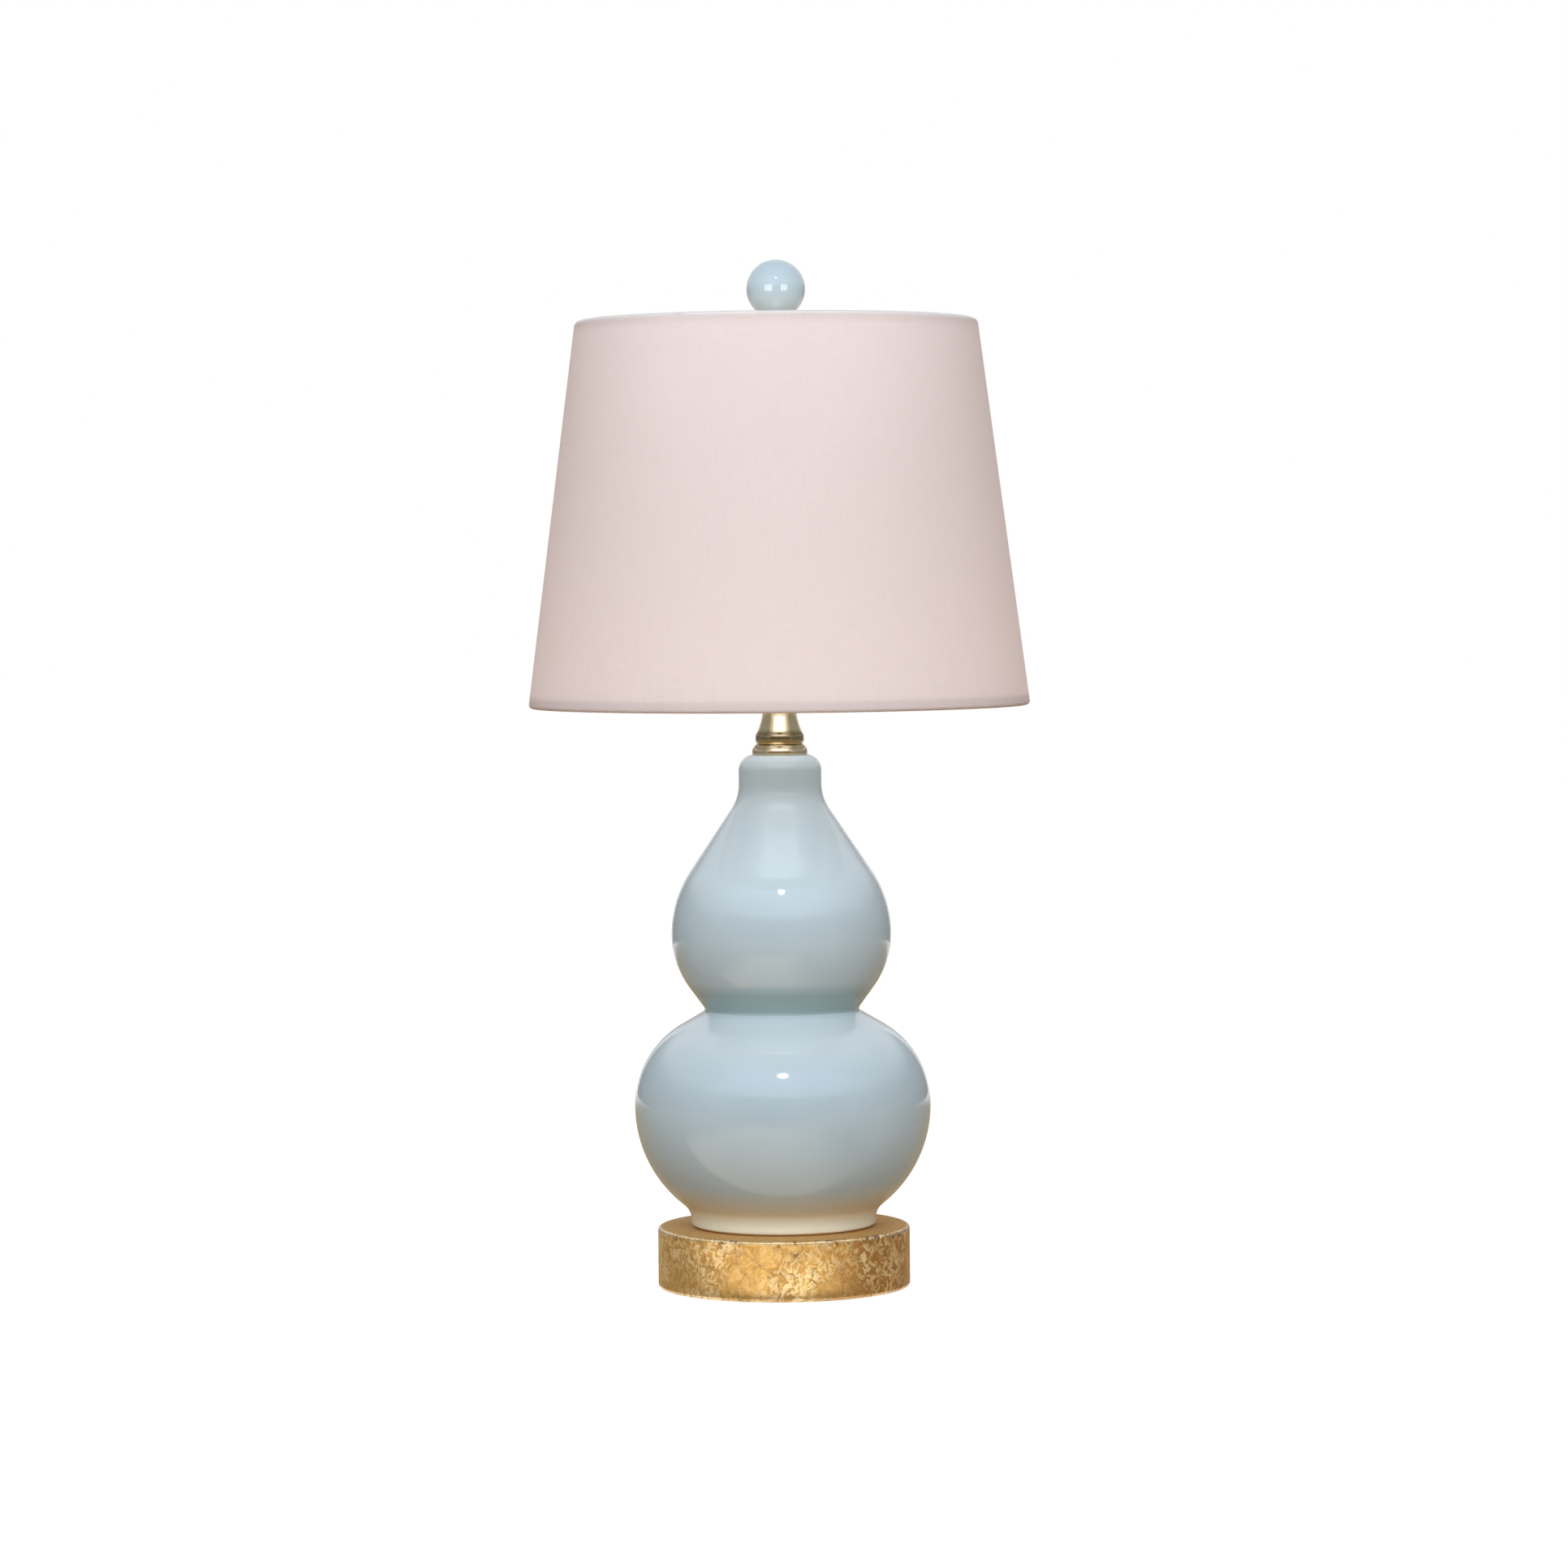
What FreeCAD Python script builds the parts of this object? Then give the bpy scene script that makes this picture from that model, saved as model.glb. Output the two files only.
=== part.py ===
import FreeCAD, Part
import math
import os

import Sketcher

# Table lamp: a turned base, a hollow double gourd, a brass neck, a turn-knob socket with its bulb,
# a detachable harp, an empire shade on a spider fitter, and a ball finial.
# Millimetres. Z is up through the lamp's axis, the table is at zero, the cord inlet faces +Y.

SIZES = (
    # base block and what it holds
    ("base_radius", "64.0"),
    ("base_lift", "0.5"),
    ("base_top", "31.0"),
    ("base_top_round", "1.8"),
    ("base_low_round", "1.2"),
    ("felt_margin", "6.0"),
    ("felt_thick", "2.0"),
    ("felt_slack", "0.3"),
    ("well_radius", "20.0"),
    ("well_ceiling", "16.0"),
    ("pipe_radius", "5.0"),
    ("pipe_bore", "3.4"),
    ("pipe_slack", "0.6"),
    ("pipe_foot", "5.0"),
    ("thread_fit", "0.05"),
    ("edge_break", "0.5"),
    ("washer_radius", "14.0"),
    ("washer_thick", "1.6"),
    ("star_radius", "9.0"),
    ("star_thick", "1.0"),
    ("star_notch", "1.6"),
    ("star_teeth", "10"),
    ("nut_half_flats", "8.0"),
    ("nut_high", "6.0"),
    # cord inlet
    ("inlet_height", "9.0"),
    ("inlet_radius", "4.2"),
    ("spot_radius", "7.0"),
    ("spot_depth", "1.2"),
    ("bushing_slack", "0.1"),
    ("bushing_bore", "3.0"),
    ("bushing_length", "11.0"),
    ("flange_radius", "6.4"),
    ("flange_thick", "1.8"),
    # gasket and gourd, heights from the gourd's foot
    ("gasket_thick", "0.8"),
    ("gasket_set_in", "1.3"),
    ("gasket_lip", "1.0"),
    ("foot_radius", "46.9"),
    ("foot_rise", "2.6"),
    ("foot_hollow", "10.0"),
    ("foot_round", "1.2"),
    ("foot_recess", "3.0"),
    ("foot_ring", "8.9"),
    ("lower_radius", "75.1"),
    ("lower_share", "0.2539"),
    ("lower_under_share", "0.9977"),
    ("lower_over_share", "0.955"),
    ("waist_radius", "39.4"),
    ("waist_share", "0.4604"),
    ("waist_crease", "2.05"),
    ("upper_radius", "55.7"),
    ("upper_share", "0.6175"),
    ("upper_under_share", "0.9058"),
    ("upper_over_share", "0.7373"),
    ("throat_radius", "21.0"),
    ("throat_share", "0.9384"),
    ("throat_hollow", "23.5"),
    ("collar_round", "8.0"),
    ("gourd_height", "238.7"),
    ("gourd_wall", "5.0"),
    ("gourd_floor", "7.5"),
    ("gourd_roof", "6.0"),
    ("hole_slack", "1.2"),
    # brass column
    ("cap_flange", "14.0"),
    ("cap_edge", "2.0"),
    ("cap_groove", "11.2"),
    ("cap_high", "5.5"),
    ("cap_sweep", "4.6"),
    ("column_bead", "11.9"),
    ("column_bead_low", "1.6"),
    ("column_bead_high", "3.8"),
    ("column_shoulder", "11.2"),
    ("column_shoulder_high", "5.7"),
    ("column_waist", "8.7"),
    ("column_waist_high", "14.4"),
    ("column_top", "8.2"),
    ("column_high", "22.0"),
    ("column_bead_round", "1.3"),
    ("column_sweep", "45.0"),
    # harp saddle
    ("strap_thick", "1.6"),
    ("strap_half_width", "7.0"),
    ("strap_shoulder", "6.0"),
    ("strap_bend", "2.2"),
    ("tine_inside", "26.2"),
    ("tine_half_width", "2.0"),
    ("tine_high", "20.0"),
    ("saddle_nut_high", "3.2"),
    ("saddle_half_flats", "7.0"),
    # socket
    ("hub_radius", "8.0"),
    ("hub_high", "5.4"),
    ("cup_radius", "16.8"),
    ("cup_round", "8.0"),
    ("cup_high", "19.2"),
    ("cup_wall", "0.7"),
    ("shell_step", "0.6"),
    ("shell_flare", "0.8"),
    ("shell_lip_high", "2.0"),
    ("shell_seat", "14.6"),
    ("shell_high", "42.0"),
    ("shell_wall", "0.6"),
    ("liner_wall", "0.5"),
    ("liner_set_in", "2.0"),
    ("core_slack", "0.4"),
    ("core_seat", "8.2"),
    ("core_high", "30.0"),
    ("core_flat_depth", "1.8"),
    ("core_step", "12.0"),
    ("contact_well", "9.2"),
    ("contact_depth", "4.4"),
    ("thread_shell_wall", "0.4"),
    ("thread_shell_set_in", "0.65"),
    ("thread_shell_high", "21.0"),
    ("tab_radius", "4.0"),
    ("tab_thick", "1.6"),
    ("screw_radius", "3.2"),
    ("screw_head", "1.6"),
    ("screw_shank", "1.7"),
    ("screw_length", "5.0"),
    ("screw_slot", "0.8"),
    ("screw_height", "6.0"),
    ("set_radius", "1.6"),
    ("set_length", "5.0"),
    # switch
    ("knob_height", "18.0"),
    ("shaft_radius", "2.0"),
    ("shaft_start", "4.0"),
    ("shaft_length", "27.0"),
    ("shaft_port", "3.0"),
    ("bearing_fit", "0.05"),
    ("knob_reach", "20.0"),
    ("knob_length", "14.0"),
    ("knob_radius", "6.0"),
    ("knob_round", "1.0"),
    ("knob_flute", "0.8"),
    ("knob_flutes", "14"),
    # harp
    ("harp_wire", "1.6"),
    ("harp_foot", "6.6"),
    ("leg_bend_height", "40.0"),
    ("leg_bend_radius", "24.0"),
    ("harp_shoulder", "57.5"),
    ("harp_round", "44.0"),
    ("harp_high", "178.7"),
    ("eye_radius", "7.0"),
    ("eye_thick", "3.6"),
    ("stud_radius", "3.1"),
    ("stud_head", "5.2"),
    ("stud_head_thick", "2.4"),
    ("stud_rise", "10.6"),
    ("sleeve_wall", "0.8"),
    ("sleeve_long", "14.0"),
    ("sleeve_lip", "0.6"),
    # shade
    ("shade_low_radius", "127.0"),
    ("shade_top_radius", "101.6"),
    ("shade_high", "195.2"),
    ("hem_radius", "1.8"),
    ("ring_wire", "1.3"),
    ("linen_thick", "0.5"),
    ("backing_thick", "0.6"),
    ("linen_inset", "3.3"),
    ("backing_inset", "3.8"),
    ("spoke_wire", "1.5"),
    ("spoke_count", "3"),
    ("spoke_level", "26.0"),
    ("spoke_bend", "12.0"),
    ("spoke_rise", "11.4"),
    ("spoke_slack", "0.4"),
    ("ring_slack", "0.1"),
    ("fitter_radius", "12.5"),
    ("fitter_hole", "3.5"),
    ("fitter_thick", "1.6"),
    ("seat_gap", "0.3"),
    # finial
    ("finial_foot", "6.6"),
    ("finial_foot_thick", "1.6"),
    ("finial_waist", "4.8"),
    ("finial_waist_high", "5.0"),
    ("finial_seat", "6.6"),
    ("finial_seat_high", "13.5"),
    ("finial_spigot", "3.0"),
    ("finial_high", "23.3"),
    ("finial_thread", "11.2"),
    ("finial_sweep", "4.0"),
    ("finial_bell", "16.0"),
    ("ball_radius", "14.8"),
    ("ball_hole_gap", "1.2"),
    # bulb, heights from its centre contact
    ("bulb_radius", "30.0"),
    ("bulb_long", "108.0"),
    ("bulb_throat", "14.0"),
    ("bulb_neck_rise", "6.5"),
    ("bulb_wall", "0.8"),
    ("bulb_gap", "0.3"),
    ("bulb_cap_slack", "0.3"),
    ("bulb_cap_low", "4.2"),
    ("bulb_cap_high", "27.0"),
    ("bulb_cap_wall", "0.5"),
    ("button_radius", "4.6"),
    ("button_thick", "1.0"),
    ("plug_high", "6.6"),
    ("neck_slack", "0.35"),
    ("neck_low", "20.0"),
    ("stem_high", "30.0"),
    ("stem_tip", "3.0"),
    ("stem_taper", "10.0"),
    ("filament_wire", "0.45"),
    ("filament_reach", "11.0"),
    ("filament_foot", "1.4"),
    ("filament_dip", "37.0"),
    ("filament_high", "44.0"),
    ("filament_bend", "1.5"),
)

# Heights and meeting points that follow from the sizes above.
STACKS = (
    ("felt_radius", "base_radius - felt_margin"),
    ("felt_pocket", "felt_radius + felt_slack"),
    ("base_bore", "pipe_radius + pipe_slack"),
    ("nut_bore", "pipe_radius + thread_fit"),
    ("star_z", "well_ceiling - washer_thick - star_thick"),
    ("washer_z", "well_ceiling - washer_thick"),
    ("nut_z", "star_z - nut_high"),
    ("spot_face", "base_radius - spot_depth"),
    ("foot_z", "base_top + gasket_thick"),
    ("recess_radius", "foot_radius - foot_ring"),
    ("gasket_inner", "recess_radius - gasket_lip"),
    ("gasket_outer", "foot_radius - gasket_set_in"),
    ("gourd_hole", "pipe_radius + hole_slack"),
    ("lower_height", "gourd_height * lower_share"),
    ("waist_height", "gourd_height * waist_share"),
    ("upper_height", "gourd_height * upper_share"),
    ("throat_height", "gourd_height * throat_share"),
    ("foot_gap", "lower_radius - foot_radius - foot_hollow"),
    ("lower_gap", "lower_radius - waist_radius - waist_crease"),
    ("upper_gap", "upper_radius - waist_radius - waist_crease"),
    ("throat_gap", "upper_radius - throat_radius - throat_hollow"),
    ("lower_under", "lower_under_share / 2 * (foot_gap ^ 2 + (lower_height - foot_rise) ^ 2"
     " - foot_hollow ^ 2) / (foot_hollow + foot_gap)"),
    ("lower_over", "lower_over_share / 2 * (lower_gap ^ 2 + (waist_height - lower_height) ^ 2"
     " - waist_crease ^ 2) / (waist_crease + lower_gap)"),
    ("upper_under", "upper_under_share / 2 * (upper_gap ^ 2 + (upper_height - waist_height) ^ 2"
     " - waist_crease ^ 2) / (waist_crease + upper_gap)"),
    ("upper_over", "upper_over_share / 2 * (throat_gap ^ 2 + (throat_height - upper_height) ^ 2"
     " - throat_hollow ^ 2) / (throat_hollow + throat_gap)"),
    ("cap_z", "foot_z + gourd_height"),
    ("column_z", "cap_z + cap_high"),
    ("saddle_z", "column_z + column_high"),
    ("tine_outside", "tine_inside + strap_thick"),
    ("leg_reach", "tine_outside + seat_gap + harp_wire"),
    ("sleeve_half", "(leg_reach + harp_wire - tine_inside) / 2"),
    ("sleeve_reach", "tine_inside + sleeve_half"),
    ("sleeve_bore", "sqrt(sleeve_half ^ 2 + tine_half_width ^ 2) + seat_gap"),
    ("saddle_nut_z", "saddle_z + strap_thick"),
    ("socket_z", "saddle_nut_z + saddle_nut_high"),
    ("pipe_top", "socket_z + hub_high"),
    ("shell_z", "socket_z + shell_seat"),
    ("shell_radius", "cup_radius - shell_step"),
    ("shell_lip", "shell_radius + shell_flare"),
    ("liner_radius", "shell_radius - shell_wall - seat_gap"),
    ("core_radius", "liner_radius - liner_wall - core_slack"),
    ("core_flat", "core_radius - core_flat_depth"),
    ("thread_shell_inner", "core_radius - thread_shell_set_in - thread_shell_wall"),
    ("bulb_cap_radius", "thread_shell_inner - bulb_cap_slack"),
    ("neck_radius", "bulb_cap_radius - bulb_cap_wall - neck_slack"),
    ("liner_z", "socket_z + cup_high + cup_wall + seat_gap"),
    ("liner_high", "shell_z + shell_high - liner_set_in - liner_z"),
    ("core_z", "socket_z + core_seat"),
    ("core_top", "core_z + core_high"),
    ("tab_z", "core_top - contact_depth"),
    ("bulb_z", "tab_z + tab_thick + bulb_gap"),
    ("knob_axis", "core_z + knob_height"),
    ("harp_wire_top", "harp_high - eye_thick / 2"),
    ("sleeve_z", "saddle_z + strap_shoulder + seat_gap"),
    ("fitter_z", "saddle_z + harp_high + seat_gap"),
    ("shade_bottom", "fitter_z + spoke_rise + hem_radius - shade_high"),
    ("finial_z", "fitter_z + fitter_thick + seat_gap"),
    ("shade_slant", "sqrt((shade_low_radius - shade_top_radius) ^ 2 + shade_high ^ 2)"),
    ("shade_lean", "(shade_low_radius - shade_top_radius) / shade_high"),
    ("linen_across", "linen_thick * shade_slant / shade_high"),
    ("backing_across", "backing_thick * shade_slant / shade_high"),
    ("hem_across", "hem_radius * shade_slant / shade_high"),
    ("linen_low", "shade_low_radius - shade_lean * linen_inset"),
    ("linen_top", "shade_top_radius + shade_lean * linen_inset"),
    ("backing_low", "shade_low_radius - shade_lean * backing_inset - linen_across"),
    ("backing_top", "shade_top_radius + shade_lean * backing_inset - linen_across"),
    ("ring_low_radius", "shade_low_radius - shade_lean * hem_radius - hem_across"),
    ("ring_top_radius", "shade_top_radius + shade_lean * hem_radius - hem_across"),
    ("ring_low_z", "shade_bottom + hem_radius"),
    ("ring_top_z", "fitter_z + spoke_rise"),
    ("spoke_start", "fitter_radius - spoke_wire - spoke_wire"),
    ("notch_start", "ring_top_radius - hem_radius - spoke_wire"),
    ("ball_hole_depth", "finial_high - finial_seat_high + ball_hole_gap"),
    ("ball_centre", "finial_seat_high + sqrt(ball_radius ^ 2 - finial_seat ^ 2)"),
    ("bulb_centre", "bulb_long - bulb_radius"),
    ("bulb_flare_z", "bulb_cap_high + bulb_neck_rise"),
    ("bulb_flare_drop", "bulb_centre - bulb_flare_z"),
    ("bulb_flare", "(bulb_flare_drop ^ 2 - bulb_radius ^ 2 + bulb_throat ^ 2)"
     " / 2 / (bulb_radius - bulb_throat)"),
    ("bulb_meet_radius", "(bulb_throat + bulb_flare) * bulb_radius / (bulb_radius + bulb_flare)"),
    ("bulb_meet_z", "bulb_centre - bulb_flare_drop * bulb_radius / (bulb_radius + bulb_flare)"),
    ("inner_meet_radius",
     "(bulb_throat + bulb_flare) * (bulb_radius - bulb_wall) / (bulb_radius + bulb_flare)"),
    ("inner_meet_z",
     "bulb_centre - bulb_flare_drop * (bulb_radius - bulb_wall) / (bulb_radius + bulb_flare)"),
)

# The level at which each hollow of the gourd has its centre.
HOLLOW_LEVELS = {"foot": "foot_rise", "waist": "waist_height", "throat": "throat_height"}

# Lengths closer than this count as equal, in mm, and a cut must remove more than this, in cubic mm.
SAME_LENGTH = 0.01
LEAST_CUT = 0.05

V = FreeCAD.Vector
pieces = []
doc = FreeCAD.newDocument("gourd_lamp")
sheet = doc.addObject("Spreadsheet::Sheet", "sizes")
for row, (name, value) in enumerate(SIZES + STACKS, start=1):
    derived = (name, value) in STACKS
    sheet.set(f"A{row}", name)
    sheet.set(f"B{row}", "=" + value if derived else value)
    sheet.setAlias(f"B{row}", name)
doc.recompute()


def amount(text):
    """Length of a sum of named sizes, such as 'foot_z + nut_high'."""
    sign = 1.0
    total = 0.0
    for word in text.split():
        if word == "-":
            sign = -1.0
        elif word == "+":
            sign = 1.0
        elif word != "0":
            total += sign * float(sheet.get(word))
    return total


def formula(text):
    """The same sum as an expression on the sheet."""
    return " ".join(word if word in ("+", "-", "0") else "sizes." + word for word in text.split())


def sub_part(label, lift="0", aside="0"):
    """Empty body named for its piece, placed by named distances up and aside of the axis."""
    body = doc.addObject("PartDesign::Body", label)
    body.Label = label
    pieces.append(body)
    if lift != "0":
        body.setExpression("Placement.Base.z", formula(lift))
    if aside != "0":
        body.setExpression("Placement.Base.x", formula(aside))
    return body


def sketch_on(body, name, role, offset="0"):
    """Sketch on one of the body's own origin planes, moved along the plane's normal by a named size."""
    sketch = body.newObject("Sketcher::SketchObject", name)
    plane = [item for item in body.Origin.OriginFeatures if item.Role == role][0]
    sketch.AttachmentSupport = (plane, [""])
    sketch.MapMode = "FlatFace"
    if offset != "0":
        sketch.setExpression("AttachmentOffset.Base.z", formula(offset))
    return sketch


def pin(sketch, item, end, across, up):
    """Hold one point of the sketch at named distances from the origin."""
    for kind, axis, text in (("DistanceX", -2, across), ("DistanceY", -1, up)):
        if text == "0":
            sketch.addConstraint(Sketcher.Constraint("PointOnObject", item, end, axis))
        else:
            held = sketch.addConstraint(Sketcher.Constraint(kind, -1, 1, item, end, amount(text)))
            sketch.setExpression(f"Constraints[{held}]", formula(text))


def size_of(sketch, item, text):
    """Give an arc or circle its named radius."""
    held = sketch.addConstraint(Sketcher.Constraint("Radius", item, amount(text)))
    sketch.setExpression(f"Constraints[{held}]", formula(text))


def arc_between(start, finish, radius, side):
    """Short arc from start to finish; side +1 keeps the centre on the left of the way."""
    chord = finish - start
    middle = (start + finish) * 0.5
    reach = math.sqrt(max(radius ** 2 - (chord.Length / 2) ** 2, 0.0))
    normal = V(-chord.y, chord.x, 0) * (side / chord.Length)
    centre = middle + normal * reach
    outward = (middle - centre) if reach > 1e-6 else normal * -1
    return Part.Arc(start, centre + outward * (radius / outward.Length), finish)


def outline(sketch, corners):
    """Closed outline. A corner is (across, up), with (radius, side) after it when an arc leaves it."""
    spots = [V(amount(corner[0]), amount(corner[1]), 0) for corner in corners]
    items = []
    ends = []
    for number, corner in enumerate(corners):
        start = spots[number]
        finish = spots[(number + 1) % len(spots)]
        if len(corner) == 2:
            items.append(sketch.addGeometry(Part.LineSegment(start, finish)))
            ends.append((1, 2))
            continue
        item = sketch.addGeometry(arc_between(start, finish, amount(corner[2]), corner[3]))
        turned_round = (sketch.getPoint(item, 1) - start).Length > (sketch.getPoint(item, 2) - start).Length
        items.append(item)
        ends.append((2, 1) if turned_round else (1, 2))
    for number, corner in enumerate(corners):
        after = (number + 1) % len(corners)
        sketch.addConstraint(Sketcher.Constraint(
            "Coincident", items[number], ends[number][1], items[after], ends[after][0]))
        pin(sketch, items[number], ends[number][0], corner[0], corner[1])
    for number, corner in enumerate(corners):
        if len(corner) > 2:
            size_of(sketch, items[number], corner[2])


def circles(sketch, *rings):
    """Circles given as (across, up, radius)."""
    for across, up, radius in rings:
        centre = V(amount(across), amount(up), 0)
        item = sketch.addGeometry(Part.Circle(centre, V(0, 0, 1), amount(radius)))
        size_of(sketch, item, radius)
        if across == up == "0":
            sketch.addConstraint(Sketcher.Constraint("Coincident", item, 3, -1, 1))
        else:
            pin(sketch, item, 3, across, up)


def turn(body, name, corners, kind="Revolution"):
    """Turn an outline drawn right of the body's axis; a Groove cuts, a Revolution adds."""
    sketch = sketch_on(body, name + "_outline", "XZ_Plane")
    outline(sketch, corners)
    return spin(body, name, sketch, kind)


def spin(body, name, sketch, kind="Revolution"):
    """Full turn of a sketch about the body's axis."""
    feature = body.newObject("PartDesign::" + kind, name)
    feature.Profile = (sketch, [""])
    feature.ReferenceAxis = (sketch, ["V_Axis"])
    feature.Angle = 360
    doc.recompute()
    return feature


def turned(label, corners, lift="0", aside="0"):
    """Sub-part that is one turned piece."""
    body = sub_part(label, lift, aside)
    turn(body, label + "_turned", corners)
    return body


def ring(label, inner, outer, high, lift, aside="0"):
    """Sub-part that is a plain ring or tube."""
    return turned(label, ((inner, "0"), (outer, "0"), (outer, high), (inner, high)), lift, aside)


def pad(body, name, sketch, length, both_ways=False):
    """Pad of a named length."""
    feature = body.newObject("PartDesign::Pad", name)
    feature.Profile = (sketch, [""])
    feature.setExpression("Length", formula(length))
    feature.Midplane = both_ways
    doc.recompute()
    return feature


def cut(body, name, sketch, length=None, both_ways=False, reverse=False):
    """Pocket through all, or to a named depth."""
    before = body.Shape.Volume
    feature = body.newObject("PartDesign::Pocket", name)
    feature.Profile = (sketch, [""])
    feature.Midplane = both_ways
    feature.Reversed = reverse
    if length is None:
        feature.Type = "ThroughAll"
    else:
        feature.setExpression("Length", formula(length))
    doc.recompute()
    if body.Shape.Volume > before - LEAST_CUT:
        raise RuntimeError(f"{name} removes nothing")
    return feature


def around(body, name, feature, count):
    """Repeat a feature evenly round the body's axis."""
    pattern = body.newObject("PartDesign::PolarPattern", name)
    pattern.Originals = [feature]
    axis = [item for item in body.Origin.OriginFeatures if item.Role == "Z_Axis"][0]
    pattern.Axis = (axis, [""])
    pattern.Angle = 360
    pattern.setExpression("Occurrences", formula(count))
    body.Tip = pattern
    doc.recompute()
    return pattern


def fillet(body, name, radius, names):
    """Fillet of a named radius on the listed edges of the body's last feature."""
    last = body.Tip
    feature = body.newObject("PartDesign::Fillet", name)
    feature.Base = (last, names)
    feature.setExpression("Radius", formula(radius))
    doc.recompute()
    return feature


def round_rims(body, name, radius, *rims):
    """Fillet on the circular edges found at (radius, height) in the body's own frame."""
    names = []
    for across, up in rims:
        for number, edge in enumerate(body.Tip.Shape.Edges, start=1):
            curve = edge.Curve
            if curve.TypeId != "Part::GeomCircle" or abs(curve.Radius - amount(across)) > SAME_LENGTH:
                continue
            if abs(curve.Center.z - amount(up)) < SAME_LENGTH:
                names.append(f"Edge{number}")
    return fillet(body, name, radius, names)


def hexagon(body, name, half_flats, high):
    """Six-sided pad about the axis, its size given from the axis to a flat."""
    sketch = sketch_on(body, name + "_outline", "XY_Plane")
    reach = amount(half_flats) / math.cos(math.pi / 6)
    spots = [V(reach * math.cos(k * math.pi / 3), reach * math.sin(k * math.pi / 3), 0) for k in range(6)]
    circle = sketch.addGeometry(Part.Circle(V(0, 0, 0), V(0, 0, 1), reach), True)
    sketch.addConstraint(Sketcher.Constraint("Coincident", circle, 3, -1, 1))
    held = sketch.addConstraint(Sketcher.Constraint("Radius", circle, reach))
    sketch.setExpression(f"Constraints[{held}]", formula(half_flats) + " / cos(30 deg)")
    sides = [sketch.addGeometry(Part.LineSegment(spots[k], spots[(k + 1) % 6])) for k in range(6)]
    for k in range(6):
        sketch.addConstraint(Sketcher.Constraint("Coincident", sides[k], 2, sides[(k + 1) % 6], 1))
        sketch.addConstraint(Sketcher.Constraint("PointOnObject", sides[k], 1, circle))
        if k < 5:
            sketch.addConstraint(Sketcher.Constraint("Equal", sides[k], sides[k + 1]))
    sketch.addConstraint(Sketcher.Constraint("PointOnObject", sides[0], 1, -1))
    return pad(body, name, sketch, high)


def bore(body, name, radius):
    """Round hole down the body's axis, right through."""
    sketch = sketch_on(body, name + "_circle", "XY_Plane")
    circles(sketch, ("0", "0", radius))
    return cut(body, name, sketch, both_ways=True)


def meet(bulb, dip):
    """Touching points of the straight flank between a bulb's circle and a hollow's circle."""
    gap = dip[0] - bulb[0]
    toward = gap * (1.0 / gap.Length)
    lean = (bulb[1] + dip[1]) / gap.Length
    rise = math.sqrt(1.0 - lean ** 2)
    touches = []
    for side in (1, -1):
        normal = V(toward.x * lean - side * toward.y * rise, side * toward.x * rise + toward.y * lean, 0)
        touches.append((bulb[0] + normal * bulb[1], dip[0] - normal * dip[1]))
    return max(touches, key=lambda pair: pair[0].x)


def swell_disc(bulb, side, trim):
    """Centre and radius of a bulb's arc under or over its widest point."""
    reach = amount(f"{bulb}_{side}{trim}")
    return V(amount(f"{bulb}_radius{trim}") - reach, amount(bulb + "_height"), 0), reach


def hollow_disc(name, size, trim):
    """Centre and radius of one of the hollows; the inner wall's arc is wider by the wall."""
    centre = V(amount(f"{name}_radius + {name}_{size}"), amount(HOLLOW_LEVELS[name]), 0)
    return centre, amount(f"{name}_{size}" + trim.replace("-", "+"))


def arc_at(sketch, circle, start, finish, radius):
    """Arc of a known circle, anticlockwise from start to finish, with its named radius."""
    angles = [math.atan2(spot.y - circle[0].y, spot.x - circle[0].x) % math.tau for spot in (start, finish)]
    if angles[1] <= angles[0]:
        angles[1] += math.tau
    arc = sketch.addGeometry(Part.ArcOfCircle(Part.Circle(circle[0], V(0, 0, 1), circle[1]), *angles))
    size_of(sketch, arc, radius)
    return arc


def swell(sketch, bulb, trim, low_touch, high_touch):
    """The two arcs of one bulb of the gourd, which meet upright at its widest point."""
    widest = V(amount(f"{bulb}_radius{trim}"), amount(bulb + "_height"), 0)
    under = arc_at(sketch, swell_disc(bulb, "under", trim), low_touch, widest, f"{bulb}_under{trim}")
    over = arc_at(sketch, swell_disc(bulb, "over", trim), widest, high_touch, f"{bulb}_over{trim}")
    sketch.addConstraint(Sketcher.Constraint("Tangent", under, 2, over, 1))
    pin(sketch, under, 2, f"{bulb}_radius{trim}", bulb + "_height")
    sketch.addConstraint(Sketcher.Constraint("Horizontal", under, 3, under, 2))
    return under, over


def hollow(sketch, name, size, trim, start, finish):
    """A hollow of the gourd: its centre stays, its radius grows by the wall on the inner outline."""
    arc = arc_at(sketch, hollow_disc(name, size, trim), start, finish,
                 f"{name}_{size}" + trim.replace("-", "+"))
    pin(sketch, arc, 3, f"{name}_radius + {name}_{size}", HOLLOW_LEVELS[name])
    return arc


def flank(sketch, lower, lower_end, upper, upper_end, spots):
    """Straight flank, smooth with the arcs at both its ends."""
    line = sketch.addGeometry(Part.LineSegment(spots[0], spots[1]))
    sketch.addConstraint(Sketcher.Constraint("Tangent", lower, lower_end, line, 1))
    sketch.addConstraint(Sketcher.Constraint("Tangent", line, 2, upper, upper_end))


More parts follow.
